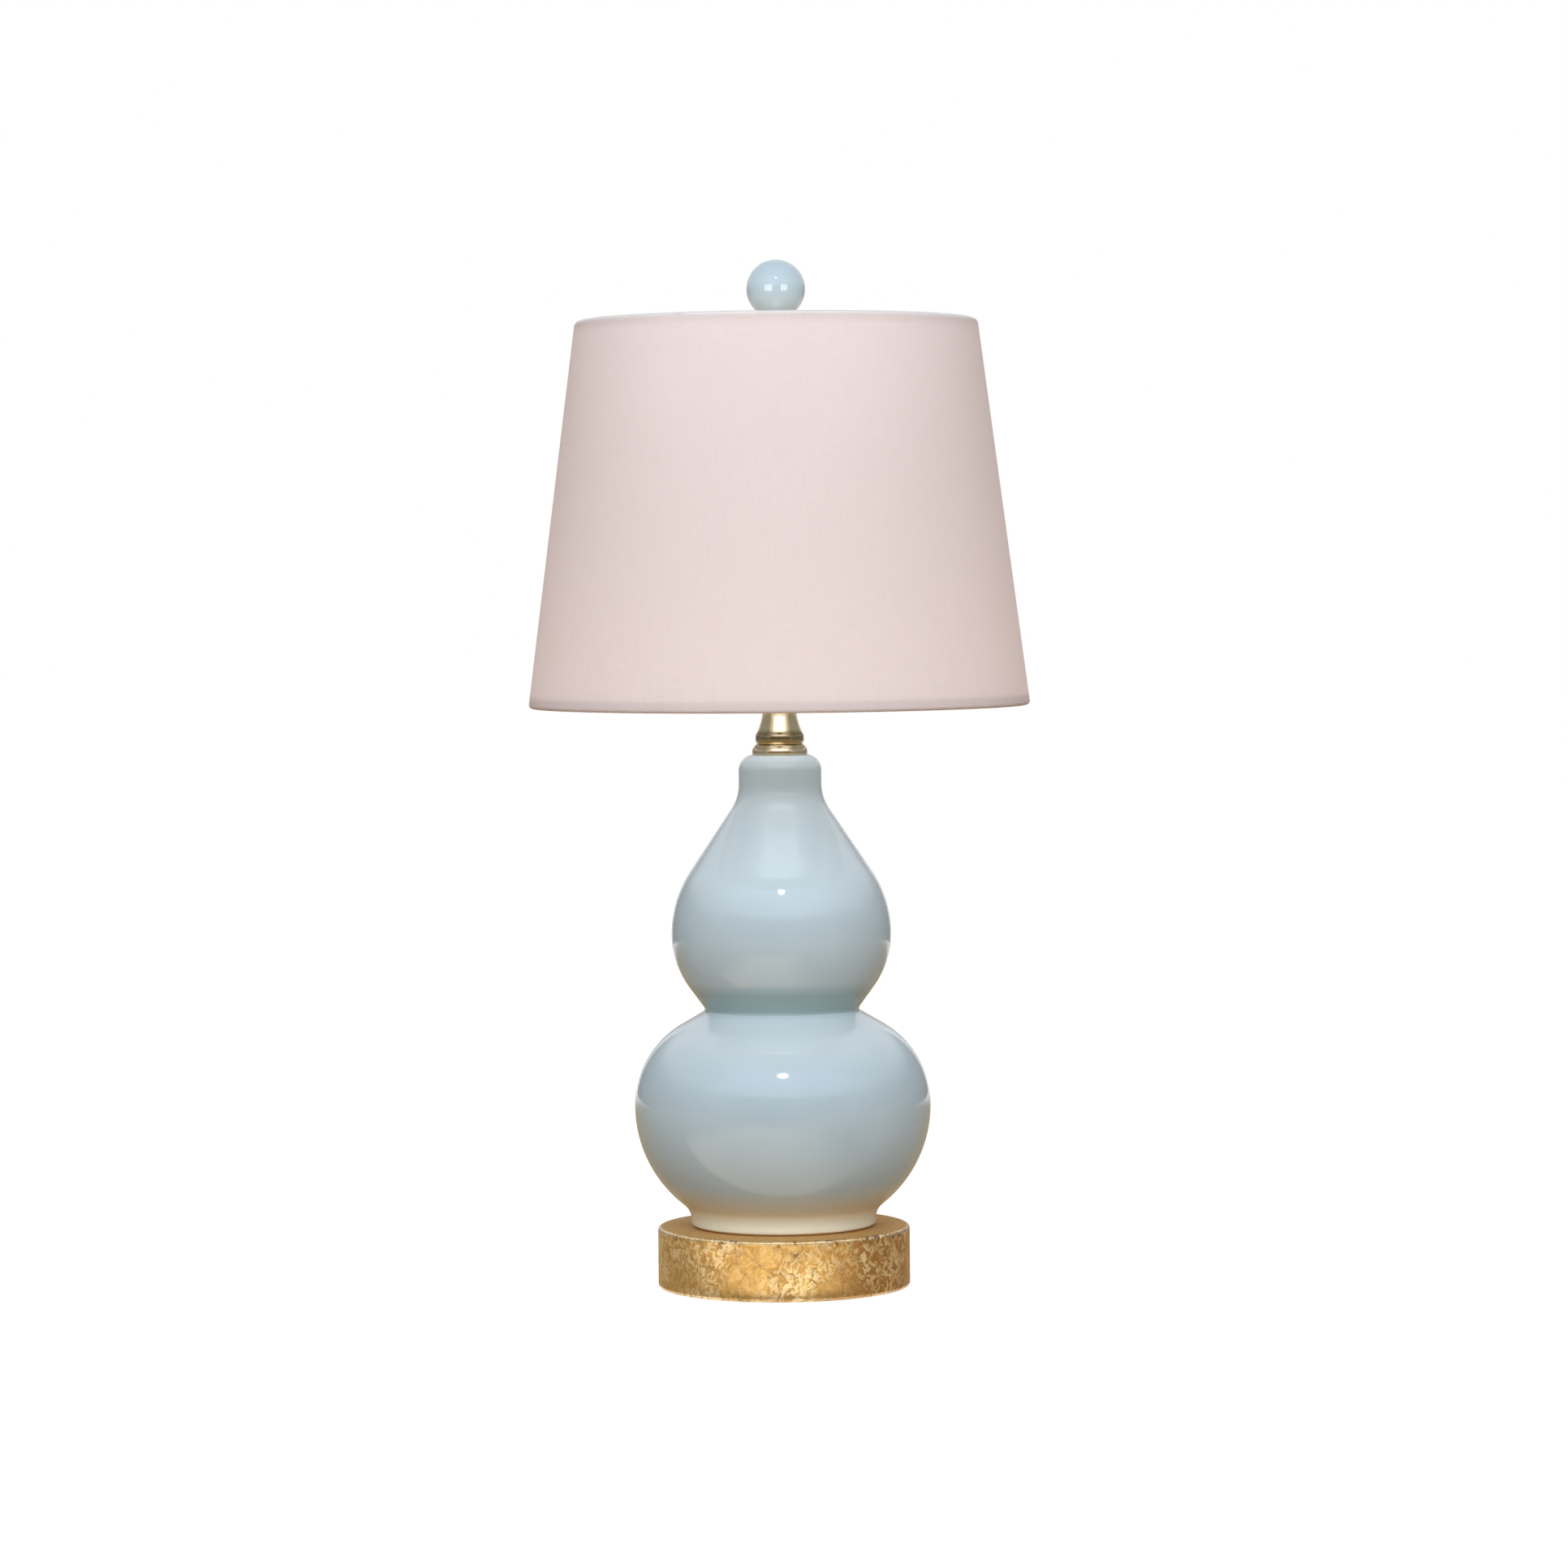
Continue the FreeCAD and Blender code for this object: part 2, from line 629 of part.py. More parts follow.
def gourd_flanks(sketch, trim, low_start):
    """Both bulbs, the waist and the throat, from a start on the lower bulb up to the upright throat."""
    waist_disc = hollow_disc("waist", "crease", trim)
    throat_disc = hollow_disc("throat", "hollow", trim)
    low_pair = meet(swell_disc("lower", "over", trim), waist_disc)
    mid_pair = meet(swell_disc("upper", "under", trim), waist_disc)
    top_pair = meet(swell_disc("upper", "over", trim), throat_disc)
    low_under, low_over = swell(sketch, "lower", trim, low_start, low_pair[0])
    high_under, high_over = swell(sketch, "upper", trim, mid_pair[0], top_pair[0])
    waist = hollow(sketch, "waist", "crease", trim, mid_pair[1], low_pair[1])
    throat = hollow(sketch, "throat", "hollow", trim, throat_disc[0] - V(throat_disc[1], 0, 0), top_pair[1])
    sketch.addConstraint(Sketcher.Constraint("Horizontal", throat, 3, throat, 1))
    flank(sketch, low_over, 2, waist, 2, low_pair)
    flank(sketch, waist, 1, high_under, 1, (mid_pair[1], mid_pair[0]))
    flank(sketch, high_over, 2, throat, 2, top_pair)
    return low_under, throat


def run(sketch, spots):
    """Straight lines through free points, joined end to end."""
    items = [sketch.addGeometry(Part.LineSegment(a, b)) for a, b in zip(spots, spots[1:])]
    for first, second in zip(items, items[1:]):
        sketch.addConstraint(Sketcher.Constraint("Coincident", first, 2, second, 1))
    return items


def wire_run(body, name, corners, wire, role, offset):
    """Bent wire: a path in the body's upright plane through (across, up, bend radius) corners."""
    path = sketch_on(body, name + "_path", "XZ_Plane")
    spots = [V(amount(corner[0]), amount(corner[1]), 0) for corner in corners]
    cuts = []
    for number in range(1, len(corners) - 1):
        before = spots[number - 1] - spots[number]
        after = spots[number + 1] - spots[number]
        bend = before.getAngle(after)
        setback = amount(corners[number][2]) / math.tan(bend / 2)
        cuts.append((spots[number] + before * (setback / before.Length),
                     spots[number] + after * (setback / after.Length), bend, number))
    starts = [spots[0]] + [cut_end[1] for cut_end in cuts]
    finishes = [cut_end[0] for cut_end in cuts] + [spots[-1]]
    lines = [path.addGeometry(Part.LineSegment(a, b)) for a, b in zip(starts, finishes)]
    for index, (near, far, bend, number) in enumerate(cuts):
        corner = spots[number]
        radius = amount(corners[number][2])
        inward = (near + far) * 0.5 - corner
        centre = corner + inward * (radius / math.sin(bend / 2) / inward.Length)
        crown = centre + (corner - centre) * (radius / (corner - centre).Length)
        arc = path.addGeometry(Part.Arc(near, crown, far))
        flip = (path.getPoint(arc, 1) - near).Length > (path.getPoint(arc, 2) - near).Length
        into, out = (2, 1) if flip else (1, 2)
        path.addConstraint(Sketcher.Constraint("Tangent", lines[index], 2, arc, into))
        path.addConstraint(Sketcher.Constraint("Tangent", arc, out, lines[index + 1], 1))
        size_of(path, arc, corners[number][2])
        mark = path.addGeometry(Part.Point(corner), True)
        pin(path, mark, 1, corners[number][0], corners[number][1])
        path.addConstraint(Sketcher.Constraint("PointOnObject", mark, 1, lines[index]))
        path.addConstraint(Sketcher.Constraint("PointOnObject", mark, 1, lines[index + 1]))
    pin(path, lines[0], 1, corners[0][0], corners[0][1])
    pin(path, lines[-1], 2, corners[-1][0], corners[-1][1])
    section = sketch_on(body, name + "_section", role, offset)
    aside = corners[0][0] if role == "XY_Plane" else "0"
    level = "0" if role == "XY_Plane" else corners[0][1]
    circles(section, (aside, level, wire))
    feature = body.newObject("PartDesign::AdditivePipe", name)
    feature.Profile = (section, [""])
    feature.Spine = (path, [f"Edge{number}" for number in range(1, len(lines) + len(cuts) + 1)])
    doc.recompute()
    return feature


# Base: a turned disc with a felt pocket and a nut well underneath, bored for the lamp pipe.
base = turned("base_block", (
    ("felt_pocket", "base_lift"),
    ("base_radius", "base_lift"),
    ("base_radius", "base_top"),
    ("base_bore", "base_top"),
    ("base_bore", "well_ceiling"),
    ("well_radius", "well_ceiling"),
    ("well_radius", "felt_thick"),
    ("felt_pocket", "felt_thick"),
))
round_rims(base, "base_top_edge", "base_top_round", ("base_radius", "base_top"))
round_rims(base, "base_low_edge", "base_low_round", ("base_radius", "base_lift"))
inlet = sketch_on(base, "inlet_circle", "XZ_Plane")
circles(inlet, ("0", "inlet_height", "inlet_radius"))
cut(base, "inlet_channel", inlet)
spot = sketch_on(base, "spot_circle", "XZ_Plane", "0 - spot_face")
circles(spot, ("0", "inlet_height", "spot_radius"))
cut(base, "inlet_spot_face", spot)

# Felt disc, let into the base and standing proud of it: the lamp rests on this face.
felt = sub_part("base_felt")
felt_sketch = sketch_on(felt, "felt_circle", "XY_Plane")
circles(felt_sketch, ("0", "0", "felt_radius"))
pad(felt, "felt_disc", felt_sketch, "felt_thick")

# Flanged bushing pressed into the cord inlet, turned about its own axis and laid along +Y.
bushing = turned("cord_bushing", (
    ("bushing_bore", "0"),
    ("inlet_radius - bushing_slack", "0"),
    ("inlet_radius - bushing_slack", "bushing_length"),
    ("flange_radius", "bushing_length"),
    ("flange_radius", "bushing_length + flange_thick"),
    ("bushing_bore", "bushing_length + flange_thick"),
))
round_rims(bushing, "bushing_mouth", "edge_break", ("flange_radius", "bushing_length + flange_thick"))
bushing.Placement = FreeCAD.Placement(V(0, 0, 0), FreeCAD.Rotation(V(1, 0, 0), -90))
bushing.setExpression("Placement.Base.y", formula("spot_face - bushing_length"))
bushing.setExpression("Placement.Base.z", formula("inlet_height"))

# Hollow lamp pipe that clamps the whole column, with its washer, toothed washer and nut in the well.
pipe = ring("lamp_pipe", "pipe_bore", "pipe_radius", "pipe_top - pipe_foot", "pipe_foot")
round_rims(pipe, "pipe_mouths", "edge_break",
           ("pipe_radius", "0"), ("pipe_radius", "pipe_top - pipe_foot"))
ring("bottom_washer", "base_bore", "washer_radius", "washer_thick", "washer_z")
star = ring("lock_washer", "base_bore", "star_radius", "star_thick", "star_z")
notch = sketch_on(star, "notch_circle", "XY_Plane")
circles(notch, ("star_radius", "0", "star_notch"))
tooth = cut(star, "notch", notch, both_ways=True)
around(star, "star_notches", tooth, "star_teeth")
nut = sub_part("bottom_nut", "nut_z")
hexagon(nut, "nut_hexagon", "nut_half_flats", "nut_high")
bore(nut, "nut_thread", "nut_bore")

# Thin gasket under the gourd's foot.
ring("seat_gasket", "gasket_inner", "gasket_outer", "gasket_thick", "base_top")

# Hollow double gourd: outer skin, then the cavity with a wall of even thickness, foot ring and pipe holes.
gourd = sub_part("gourd_body", "foot_z")
skin = sketch_on(gourd, "skin_outline", "XZ_Plane")
foot_disc = hollow_disc("foot", "hollow", "")
foot_pair = meet(swell_disc("lower", "under", ""), foot_disc)
first_arc, last_arc = gourd_flanks(skin, "", foot_pair[0])
foot_arc = hollow(skin, "foot", "hollow", "", foot_pair[1], foot_disc[0] - V(foot_disc[1], 0, 0))
skin.addConstraint(Sketcher.Constraint("Horizontal", foot_arc, 3, foot_arc, 2))
flank(skin, foot_arc, 1, first_arc, 1, (foot_pair[1], foot_pair[0]))
foot_spot = V(amount("foot_radius"), amount("foot_rise"), 0)
collar_spot = V(amount("throat_radius - collar_round"), amount("gourd_height"), 0)
skin_lines = run(skin, (foot_spot, V(foot_spot.x, 0, 0), V(0, 0, 0), V(0, collar_spot.y, 0), collar_spot))
skin.addConstraint(Sketcher.Constraint("Coincident", foot_arc, 2, skin_lines[0], 1))
pin(skin, skin_lines[1], 1, "foot_radius", "0")
skin.addConstraint(Sketcher.Constraint("Coincident", skin_lines[2], 1, -1, 1))
pin(skin, skin_lines[3], 1, "0", "gourd_height")
collar_disc = (V(collar_spot.x, amount("gourd_height - collar_round"), 0), amount("collar_round"))
shoulder_spot = collar_disc[0] + V(collar_disc[1], 0, 0)
collar_arc = arc_at(skin, collar_disc, shoulder_spot, collar_spot, "collar_round")
pin(skin, collar_arc, 3, "throat_radius - collar_round", "gourd_height - collar_round")
skin.addConstraint(Sketcher.Constraint("Horizontal", collar_arc, 3, collar_arc, 1))
skin.addConstraint(Sketcher.Constraint("Vertical", collar_arc, 3, collar_arc, 2))
skin.addConstraint(Sketcher.Constraint("Coincident", skin_lines[3], 2, collar_arc, 2))
throat_line = run(skin, (V(shoulder_spot.x, amount("throat_height"), 0), shoulder_spot))[0]
skin.addConstraint(Sketcher.Constraint("Coincident", throat_line, 1, last_arc, 1))
skin.addConstraint(Sketcher.Constraint("Coincident", throat_line, 2, collar_arc, 1))
spin(gourd, "gourd_skin", skin)
round_rims(gourd, "foot_edge", "foot_round", ("foot_radius", "0"))
cavity = sketch_on(gourd, "cavity_outline", "XZ_Plane")
low_disc = swell_disc("lower", "under", " - gourd_wall")
floor_corner = V(amount("foot_radius - gourd_wall"), amount("gourd_floor"), 0)
floor_pair = meet(low_disc, (floor_corner, 0.0))
inner_first, inner_last = gourd_flanks(cavity, " - gourd_wall", floor_pair[0])
roof_level = amount("gourd_height - gourd_roof")
throat_inside = amount("throat_radius - gourd_wall")
cavity_lines = run(cavity, (floor_pair[0], floor_corner, V(0, floor_corner.y, 0), V(0, roof_level, 0),
                            V(throat_inside, roof_level, 0), V(throat_inside, amount("throat_height"), 0)))
cavity.addConstraint(Sketcher.Constraint("Tangent", inner_first, 1, cavity_lines[0], 1))
pin(cavity, cavity_lines[1], 1, "foot_radius - gourd_wall", "gourd_floor")
pin(cavity, cavity_lines[1], 2, "0", "gourd_floor")
pin(cavity, cavity_lines[2], 2, "0", "gourd_height - gourd_roof")
pin(cavity, cavity_lines[4], 1, "throat_radius - gourd_wall", "gourd_height - gourd_roof")
cavity.addConstraint(Sketcher.Constraint("Coincident", cavity_lines[4], 2, inner_last, 1))
spin(gourd, "gourd_cavity", cavity, "Groove")
under = sketch_on(gourd, "foot_recess_circle", "XY_Plane")
circles(under, ("0", "0", "recess_radius"))
cut(gourd, "foot_recess", under, "foot_recess", reverse=True)
bore(gourd, "pipe_holes", "gourd_hole")

# Brass vase cap over the collar, and the tapered neck with its bead.
vase_cap = turned("vase_cap", (
    ("nut_bore", "0"),
    ("cap_flange", "0"),
    ("cap_flange", "cap_edge", "cap_sweep", 1),
    ("cap_groove", "cap_high"),
    ("nut_bore", "cap_high"),
), "cap_z")
round_rims(vase_cap, "cap_flange_edge", "edge_break", ("cap_flange", "0"))
turned("brass_neck", (
    ("nut_bore", "0"),
    ("cap_groove", "0"),
    ("column_bead", "column_bead_low", "column_bead_round", 1),
    ("column_bead", "column_bead_high"),
    ("column_shoulder", "column_shoulder_high", "column_sweep", -1),
    ("column_waist", "column_waist_high"),
    ("column_top", "column_high"),
    ("nut_bore", "column_high"),
), "column_z")

# Harp saddle: a strap bent into a U; each end narrows to a tine, leaving a shoulder for the sleeve.
saddle = sub_part("harp_saddle", "saddle_z")
strap = sketch_on(saddle, "strap_outline", "XZ_Plane")
outline(strap, (
    ("0 - tine_outside", "0"),
    ("tine_outside", "0"),
    ("tine_outside", "tine_high"),
    ("tine_inside", "tine_high"),
    ("tine_inside", "strap_thick"),
    ("0 - tine_inside", "strap_thick"),
    ("0 - tine_inside", "tine_high"),
    ("0 - tine_outside", "tine_high"),
))
pad(saddle, "strap", strap, "strap_half_width + strap_half_width", both_ways=True)
for side, sign in (("front", 1), ("back", -1)):
    trim_sketch = sketch_on(saddle, side + "_trim_outline", "YZ_Plane")
    edge_in = "tine_half_width" if sign > 0 else "0 - tine_half_width"
    edge_out = "strap_half_width + strap_thick" if sign > 0 else "0 - strap_half_width - strap_thick"
    outline(trim_sketch, (
        (edge_in, "strap_shoulder"),
        (edge_out, "strap_shoulder"),
        (edge_out, "tine_high + strap_thick"),
        (edge_in, "tine_high + strap_thick"),
    ))
    cut(saddle, side + "_shoulders", trim_sketch, both_ways=True)
bend_edges = []
for number, edge in enumerate(saddle.Tip.Shape.Edges, start=1):
    along_y = edge.BoundBox.YLength > amount("strap_half_width")
    if along_y and edge.BoundBox.ZMax < SAME_LENGTH:
        bend_edges.append(f"Edge{number}")
fillet(saddle, "strap_bends", "strap_bend", bend_edges)
bore(saddle, "saddle_hole", "nut_bore")
saddle_nut = sub_part("saddle_nut", "saddle_nut_z")
hexagon(saddle_nut, "saddle_nut_hexagon", "saddle_half_flats", "saddle_nut_high")
bore(saddle_nut, "saddle_nut_thread", "nut_bore")

# Socket: cap with its hub, shell, insulating liner and moulded core.
turned("socket_cap", (
    ("nut_bore", "0"),
    ("hub_radius", "0"),
    ("hub_radius", "hub_high"),
    ("cup_radius - cup_round", "hub_high", "cup_round", 1),
    ("cup_radius", "hub_high + cup_round"),
    ("cup_radius", "cup_high"),
    ("cup_radius - cup_wall", "cup_high"),
    ("cup_radius - cup_wall", "hub_high + cup_round", "cup_round - cup_wall", -1),
    ("cup_radius - cup_round", "hub_high + cup_wall"),
    ("nut_bore", "hub_high + cup_wall"),
), "socket_z")
socket_shell = turned("socket_shell", (
    ("shell_radius - shell_wall - cup_wall", "0"),
    ("shell_radius - cup_wall", "0"),
    ("shell_radius - cup_wall", "cup_high - shell_seat"),
    ("shell_radius", "cup_high - shell_seat + cup_wall"),
    ("shell_radius", "shell_high - shell_lip_high"),
    ("shell_lip", "shell_high"),
    ("shell_lip - shell_wall", "shell_high"),
    ("shell_radius - shell_wall", "shell_high - shell_lip_high"),
    ("shell_radius - shell_wall", "cup_high - shell_seat + cup_wall"),
    ("shell_radius - shell_wall - cup_wall", "cup_high - shell_seat"),
), "shell_z")
port = sketch_on(socket_shell, "shell_port_circle", "XZ_Plane")
circles(port, ("0", "knob_axis - shell_z", "shaft_port"))
cut(socket_shell, "shell_port", port, reverse=True)
liner = ring("socket_liner", "liner_radius - liner_wall", "liner_radius", "liner_high", "liner_z")
liner_port = sketch_on(liner, "liner_port_circle", "XZ_Plane")
circles(liner_port, ("0", "knob_axis - liner_z", "shaft_port"))
cut(liner, "liner_port", liner_port, reverse=True)
core = turned("socket_core", (
    ("0", "0"),
    ("core_flat", "0"),
    ("core_flat", "core_step"),
    ("core_radius", "core_step"),
    ("core_radius", "core_high"),
    ("contact_well", "core_high"),
    ("contact_well", "core_high - contact_depth"),
    ("0", "core_high - contact_depth"),
), "core_z")
bearing = sketch_on(core, "bearing_circle", "XZ_Plane", "shaft_start - bearing_fit")
circles(bearing, ("0", "knob_height", "shaft_radius + bearing_fit"))
cut(core, "shaft_bearing", bearing, reverse=True)
screw_seats = sketch_on(core, "screw_seat_circle", "YZ_Plane")
circles(screw_seats, ("0", "screw_height", "screw_shank + bushing_slack"))
cut(core, "screw_seats", screw_seats, both_ways=True)
ring("socket_thread_shell", "thread_shell_inner", "thread_shell_inner + thread_shell_wall",
     "thread_shell_high", "core_top")
tab = sub_part("socket_contact", "tab_z")
tab_sketch = sketch_on(tab, "tab_circle", "XY_Plane")
circles(tab_sketch, ("0", "0", "tab_radius"))
pad(tab, "contact_tab", tab_sketch, "tab_thick")


def slotted_screw(name, turn_axis, turn_angle):
    """Round-head screw with a driver slot, its head's face outward and its shank along -Z."""
    head = doc.addObject("Part::Cylinder", name + "_head")
    head.setExpression("Radius", formula("screw_radius"))
    head.setExpression("Height", formula("screw_head"))
    shank = doc.addObject("Part::Cylinder", name + "_shank")
    shank.setExpression("Radius", formula("screw_shank"))
    shank.setExpression("Height", formula("screw_length"))
    shank.setExpression("Placement.Base.z", "-sizes.screw_length")
    slot = doc.addObject("Part::Box", name + "_slot")
    slot.setExpression("Length", "2 * sizes.screw_radius")
    slot.setExpression("Width", formula("screw_slot"))
    slot.setExpression("Height", formula("screw_slot"))
    slot.setExpression("Placement.Base.x", "-sizes.screw_radius")
    slot.setExpression("Placement.Base.y", "-sizes.screw_slot / 2")
    slot.setExpression("Placement.Base.z", "sizes.screw_head - sizes.screw_slot")
    joined = doc.addObject("Part::Fuse", name + "_blank")
    joined.Base = head
    joined.Tool = shank
    screw = doc.addObject("Part::Cut", name)
    screw.Base = joined
    screw.Tool = slot
    screw.Placement = FreeCAD.Placement(V(0, 0, 0), FreeCAD.Rotation(turn_axis, turn_angle))
    return screw


# Two terminal screws, alike, on the core's flanks.
left_screw = slotted_screw("left_terminal", V(0, 1, 0), -90)
right_screw = slotted_screw("right_terminal", V(0, 1, 0), 90)
left_screw.setExpression("Placement.Base.x", "-sizes.core_flat")
right_screw.setExpression("Placement.Base.x", "sizes.core_flat")
terminals = doc.addObject("Part::Compound", "terminal_screws")
terminals.Links = [left_screw, right_screw]
terminals.setExpression("Placement.Base.z", "sizes.core_z + sizes.screw_height")
pieces.append(terminals)

# Set screw that locks the cap's hub on the pipe.
set_screw = doc.addObject("Part::Cylinder", "socket_set_screw")
set_screw.setExpression("Radius", formula("set_radius"))
set_screw.setExpression("Height", formula("set_length"))
set_screw.Placement = FreeCAD.Placement(V(0, 0, 0), FreeCAD.Rotation(V(0, 1, 0), 90))
set_screw.setExpression("Placement.Base.x", formula("hub_radius"))
set_screw.setExpression("Placement.Base.z", "sizes.socket_z + sizes.hub_high / 2")
pieces.append(set_screw)

# Switch: a shaft in the core's bearing and a fluted knob on its end, both about a level axis toward -Y.
level_turn = FreeCAD.Placement(V(0, 0, 0), FreeCAD.Rotation(V(1, 0, 0), 90))
shaft = sub_part("switch_shaft")
shaft_sketch = sketch_on(shaft, "shaft_circle", "XY_Plane", "shaft_start")
circles(shaft_sketch, ("0", "0", "shaft_radius"))
pad(shaft, "shaft", shaft_sketch, "shaft_length")
shaft.Placement = level_turn
shaft.setExpression("Placement.Base.z", formula("knob_axis"))
knob = turned("switch_knob", (
    ("shaft_radius + thread_fit", "knob_reach"),
    ("knob_radius", "knob_reach"),
    ("knob_radius", "knob_reach + knob_length"),
    ("0", "knob_reach + knob_length"),
    ("0", "shaft_start + shaft_length"),
    ("shaft_radius + thread_fit", "shaft_start + shaft_length"),
))
round_rims(knob, "knob_edges", "knob_round",
           ("knob_radius", "knob_reach"), ("knob_radius", "knob_reach + knob_length"))
flute_sketch = sketch_on(knob, "flute_circle", "XY_Plane")
circles(flute_sketch, ("knob_radius", "0", "knob_flute"))
flute = cut(knob, "flute", flute_sketch, both_ways=True)
around(knob, "flutes", flute, "knob_flutes")
knob.Placement = level_turn
knob.setExpression("Placement.Base.z", formula("knob_axis"))

# Harp: one bent wire from tine to tine, a flattened eye at its crown and the stud that stands in it.
harp = sub_part("harp_loop", "saddle_z")
wire_run(harp, "harp_wire_loop", (
    ("0 - leg_reach", "harp_foot"),
    ("0 - leg_reach", "leg_bend_height", "leg_bend_radius"),
    ("0 - harp_shoulder", "harp_wire_top", "harp_round"),
    ("harp_shoulder", "harp_wire_top", "harp_round"),
    ("leg_reach", "leg_bend_height", "leg_bend_radius"),
    ("leg_reach", "harp_foot"),
), "harp_wire", "XY_Plane", "harp_foot")
eye = sketch_on(harp, "eye_circle", "XY_Plane", "harp_high - eye_thick")
circles(eye, ("0", "0", "eye_radius"))
pad(harp, "eye", eye, "eye_thick")
bore(harp, "eye_hole", "stud_radius + thread_fit")
stud = turned("harp_stud", (
    ("0", "0"),
    ("stud_head", "0"),
    ("stud_head", "stud_head_thick"),
    ("stud_radius", "stud_head_thick"),
    ("stud_radius", "stud_head_thick + eye_thick + stud_rise"),
    ("0", "stud_head_thick + eye_thick + stud_rise"),
), "saddle_z + harp_high - eye_thick - stud_head_thick")
round_rims(stud, "stud_tip", "edge_break", ("stud_radius", "stud_head_thick + eye_thick + stud_rise"))

# Sleeves that lock each leg to its tine.
for side, reach in (("left", "0 - sleeve_reach"), ("right", "sleeve_reach")):
    turned("harp_sleeve_" + side, (
        ("sleeve_bore", "0"),
        ("sleeve_bore + sleeve_wall + sleeve_lip", "0"),
        ("sleeve_bore + sleeve_wall + sleeve_lip", "sleeve_lip + sleeve_lip"),
        ("sleeve_bore + sleeve_wall", "sleeve_lip + sleeve_lip"),
        ("sleeve_bore + sleeve_wall", "sleeve_long"),
        ("sleeve_bore", "sleeve_long"),
    ), "sleeve_z", reach)

# Shade: linen on a stiff backing, its hems rolled over two wire rings.
turned("shade_linen", (
    ("linen_low - linen_across", "linen_inset"),
    ("linen_low", "linen_inset"),
    ("linen_top", "shade_high - linen_inset"),
    ("linen_top - linen_across", "shade_high - linen_inset"),
), "shade_bottom")
turned("shade_backing", (
    ("backing_low - backing_across", "backing_inset"),
    ("backing_low", "backing_inset"),
    ("backing_top", "shade_high - backing_inset"),
    ("backing_top - backing_across", "shade_high - backing_inset"),
), "shade_bottom")


def rolled_hem(label, radius, lift):
    """Fabric tube rolled round a wire ring."""
    body = sub_part(label, lift)
    section = sketch_on(body, label + "_section", "XZ_Plane")
    circles(section, (radius, "0", "hem_radius"), (radius, "0", "ring_wire + ring_slack"))
    spin(body, label + "_roll", section)
    return body


rolled_hem("shade_low_hem", "ring_low_radius", "ring_low_z")
top_hem = rolled_hem("shade_top_hem", "ring_top_radius", "ring_top_z")
hem_notch = sketch_on(top_hem, "hem_notch_circle", "YZ_Plane", "notch_start")
circles(hem_notch, ("0", "0", "spoke_wire + spoke_slack"))
first_notch = cut(top_hem, "hem_notch", hem_notch, "spoke_wire + hem_radius + spoke_slack", reverse=True)
around(top_hem, "hem_notches", first_notch, "spoke_count")
low_ring = sub_part("shade_low_ring", "ring_low_z")
low_section = sketch_on(low_ring, "low_ring_section", "XZ_Plane")
circles(low_section, ("ring_low_radius", "0", "ring_wire"))
spin(low_ring, "low_ring_wire", low_section)

# Spider fitter: a washer over the stud, three bent spokes and the top ring, all one welded piece.
fitter = turned("spider_fitter", (
    ("fitter_hole", "0"),
    ("fitter_radius", "0"),
    ("fitter_radius", "fitter_thick"),
    ("fitter_hole", "fitter_thick"),
), "fitter_z")
spoke = wire_run(fitter, "spoke", (
    ("spoke_start", "spoke_wire"),
    ("spoke_level", "spoke_wire", "spoke_bend"),
    ("ring_top_radius", "spoke_rise"),
), "spoke_wire", "YZ_Plane", "spoke_start")
around(fitter, "spokes", spoke, "spoke_count")
top_section = sketch_on(fitter, "top_ring_section", "XZ_Plane")
circles(top_section, ("ring_top_radius", "spoke_rise", "ring_wire"))
spin(fitter, "top_ring_wire", top_section)

# Finial: a tapped brass foot that screws on the stud, with the ball set on its spigot.
turned("finial_base", (
    ("stud_radius + thread_fit", "0"),
    ("finial_foot", "0"),
    ("finial_foot", "finial_foot_thick", "finial_sweep", -1),
    ("finial_waist", "finial_waist_high", "finial_bell", -1),
    ("finial_seat", "finial_seat_high"),
    ("finial_spigot", "finial_seat_high"),
    ("finial_spigot", "finial_high"),
    ("0", "finial_high"),
    ("0", "finial_thread"),
    ("stud_radius + thread_fit", "finial_thread"),
), "finial_z")
turned("finial_ball", (
    ("finial_spigot + thread_fit", "finial_seat_high"),
    ("finial_seat", "finial_seat_high", "ball_radius", 1),
    ("0", "ball_centre + ball_radius"),
    ("0", "finial_seat_high + ball_hole_depth"),
    ("finial_spigot + thread_fit", "finial_seat_high + ball_hole_depth"),
), "finial_z")

# Bulb: envelope, screw cap, insulator and centre contact, with the glass stem and the filament inside.
turned("bulb_glass", (
    ("neck_radius - bulb_wall", "neck_low"),
    ("neck_radius", "neck_low"),
    ("neck_radius", "bulb_cap_high"),
    ("bulb_throat", "bulb_flare_z", "bulb_flare", -1),
    ("bulb_meet_radius", "bulb_meet_z", "bulb_radius", 1),
    ("0", "bulb_long"),
    ("0", "bulb_long - bulb_wall", "bulb_radius - bulb_wall", -1),
    ("inner_meet_radius", "inner_meet_z", "bulb_flare + bulb_wall", 1),
    ("bulb_throat - bulb_wall", "bulb_flare_z"),
    ("neck_radius - bulb_wall", "bulb_cap_high"),
), "bulb_z")
ring("bulb_cap", "bulb_cap_radius - bulb_cap_wall", "bulb_cap_radius", "bulb_cap_high - bulb_cap_low",
     "bulb_z + bulb_cap_low")
turned("bulb_insulator", (
    ("0", "button_thick"),
    ("button_radius", "button_thick"),
    ("bulb_cap_radius - bulb_cap_wall", "bulb_cap_low"),
    ("bulb_cap_radius - bulb_cap_wall", "plug_high"),
    ("0", "plug_high"),
), "bulb_z")
button = sub_part("bulb_contact", "bulb_z")
button_sketch = sketch_on(button, "button_circle", "XY_Plane")
circles(button_sketch, ("0", "0", "button_radius"))
pad(button, "button", button_sketch, "button_thick")
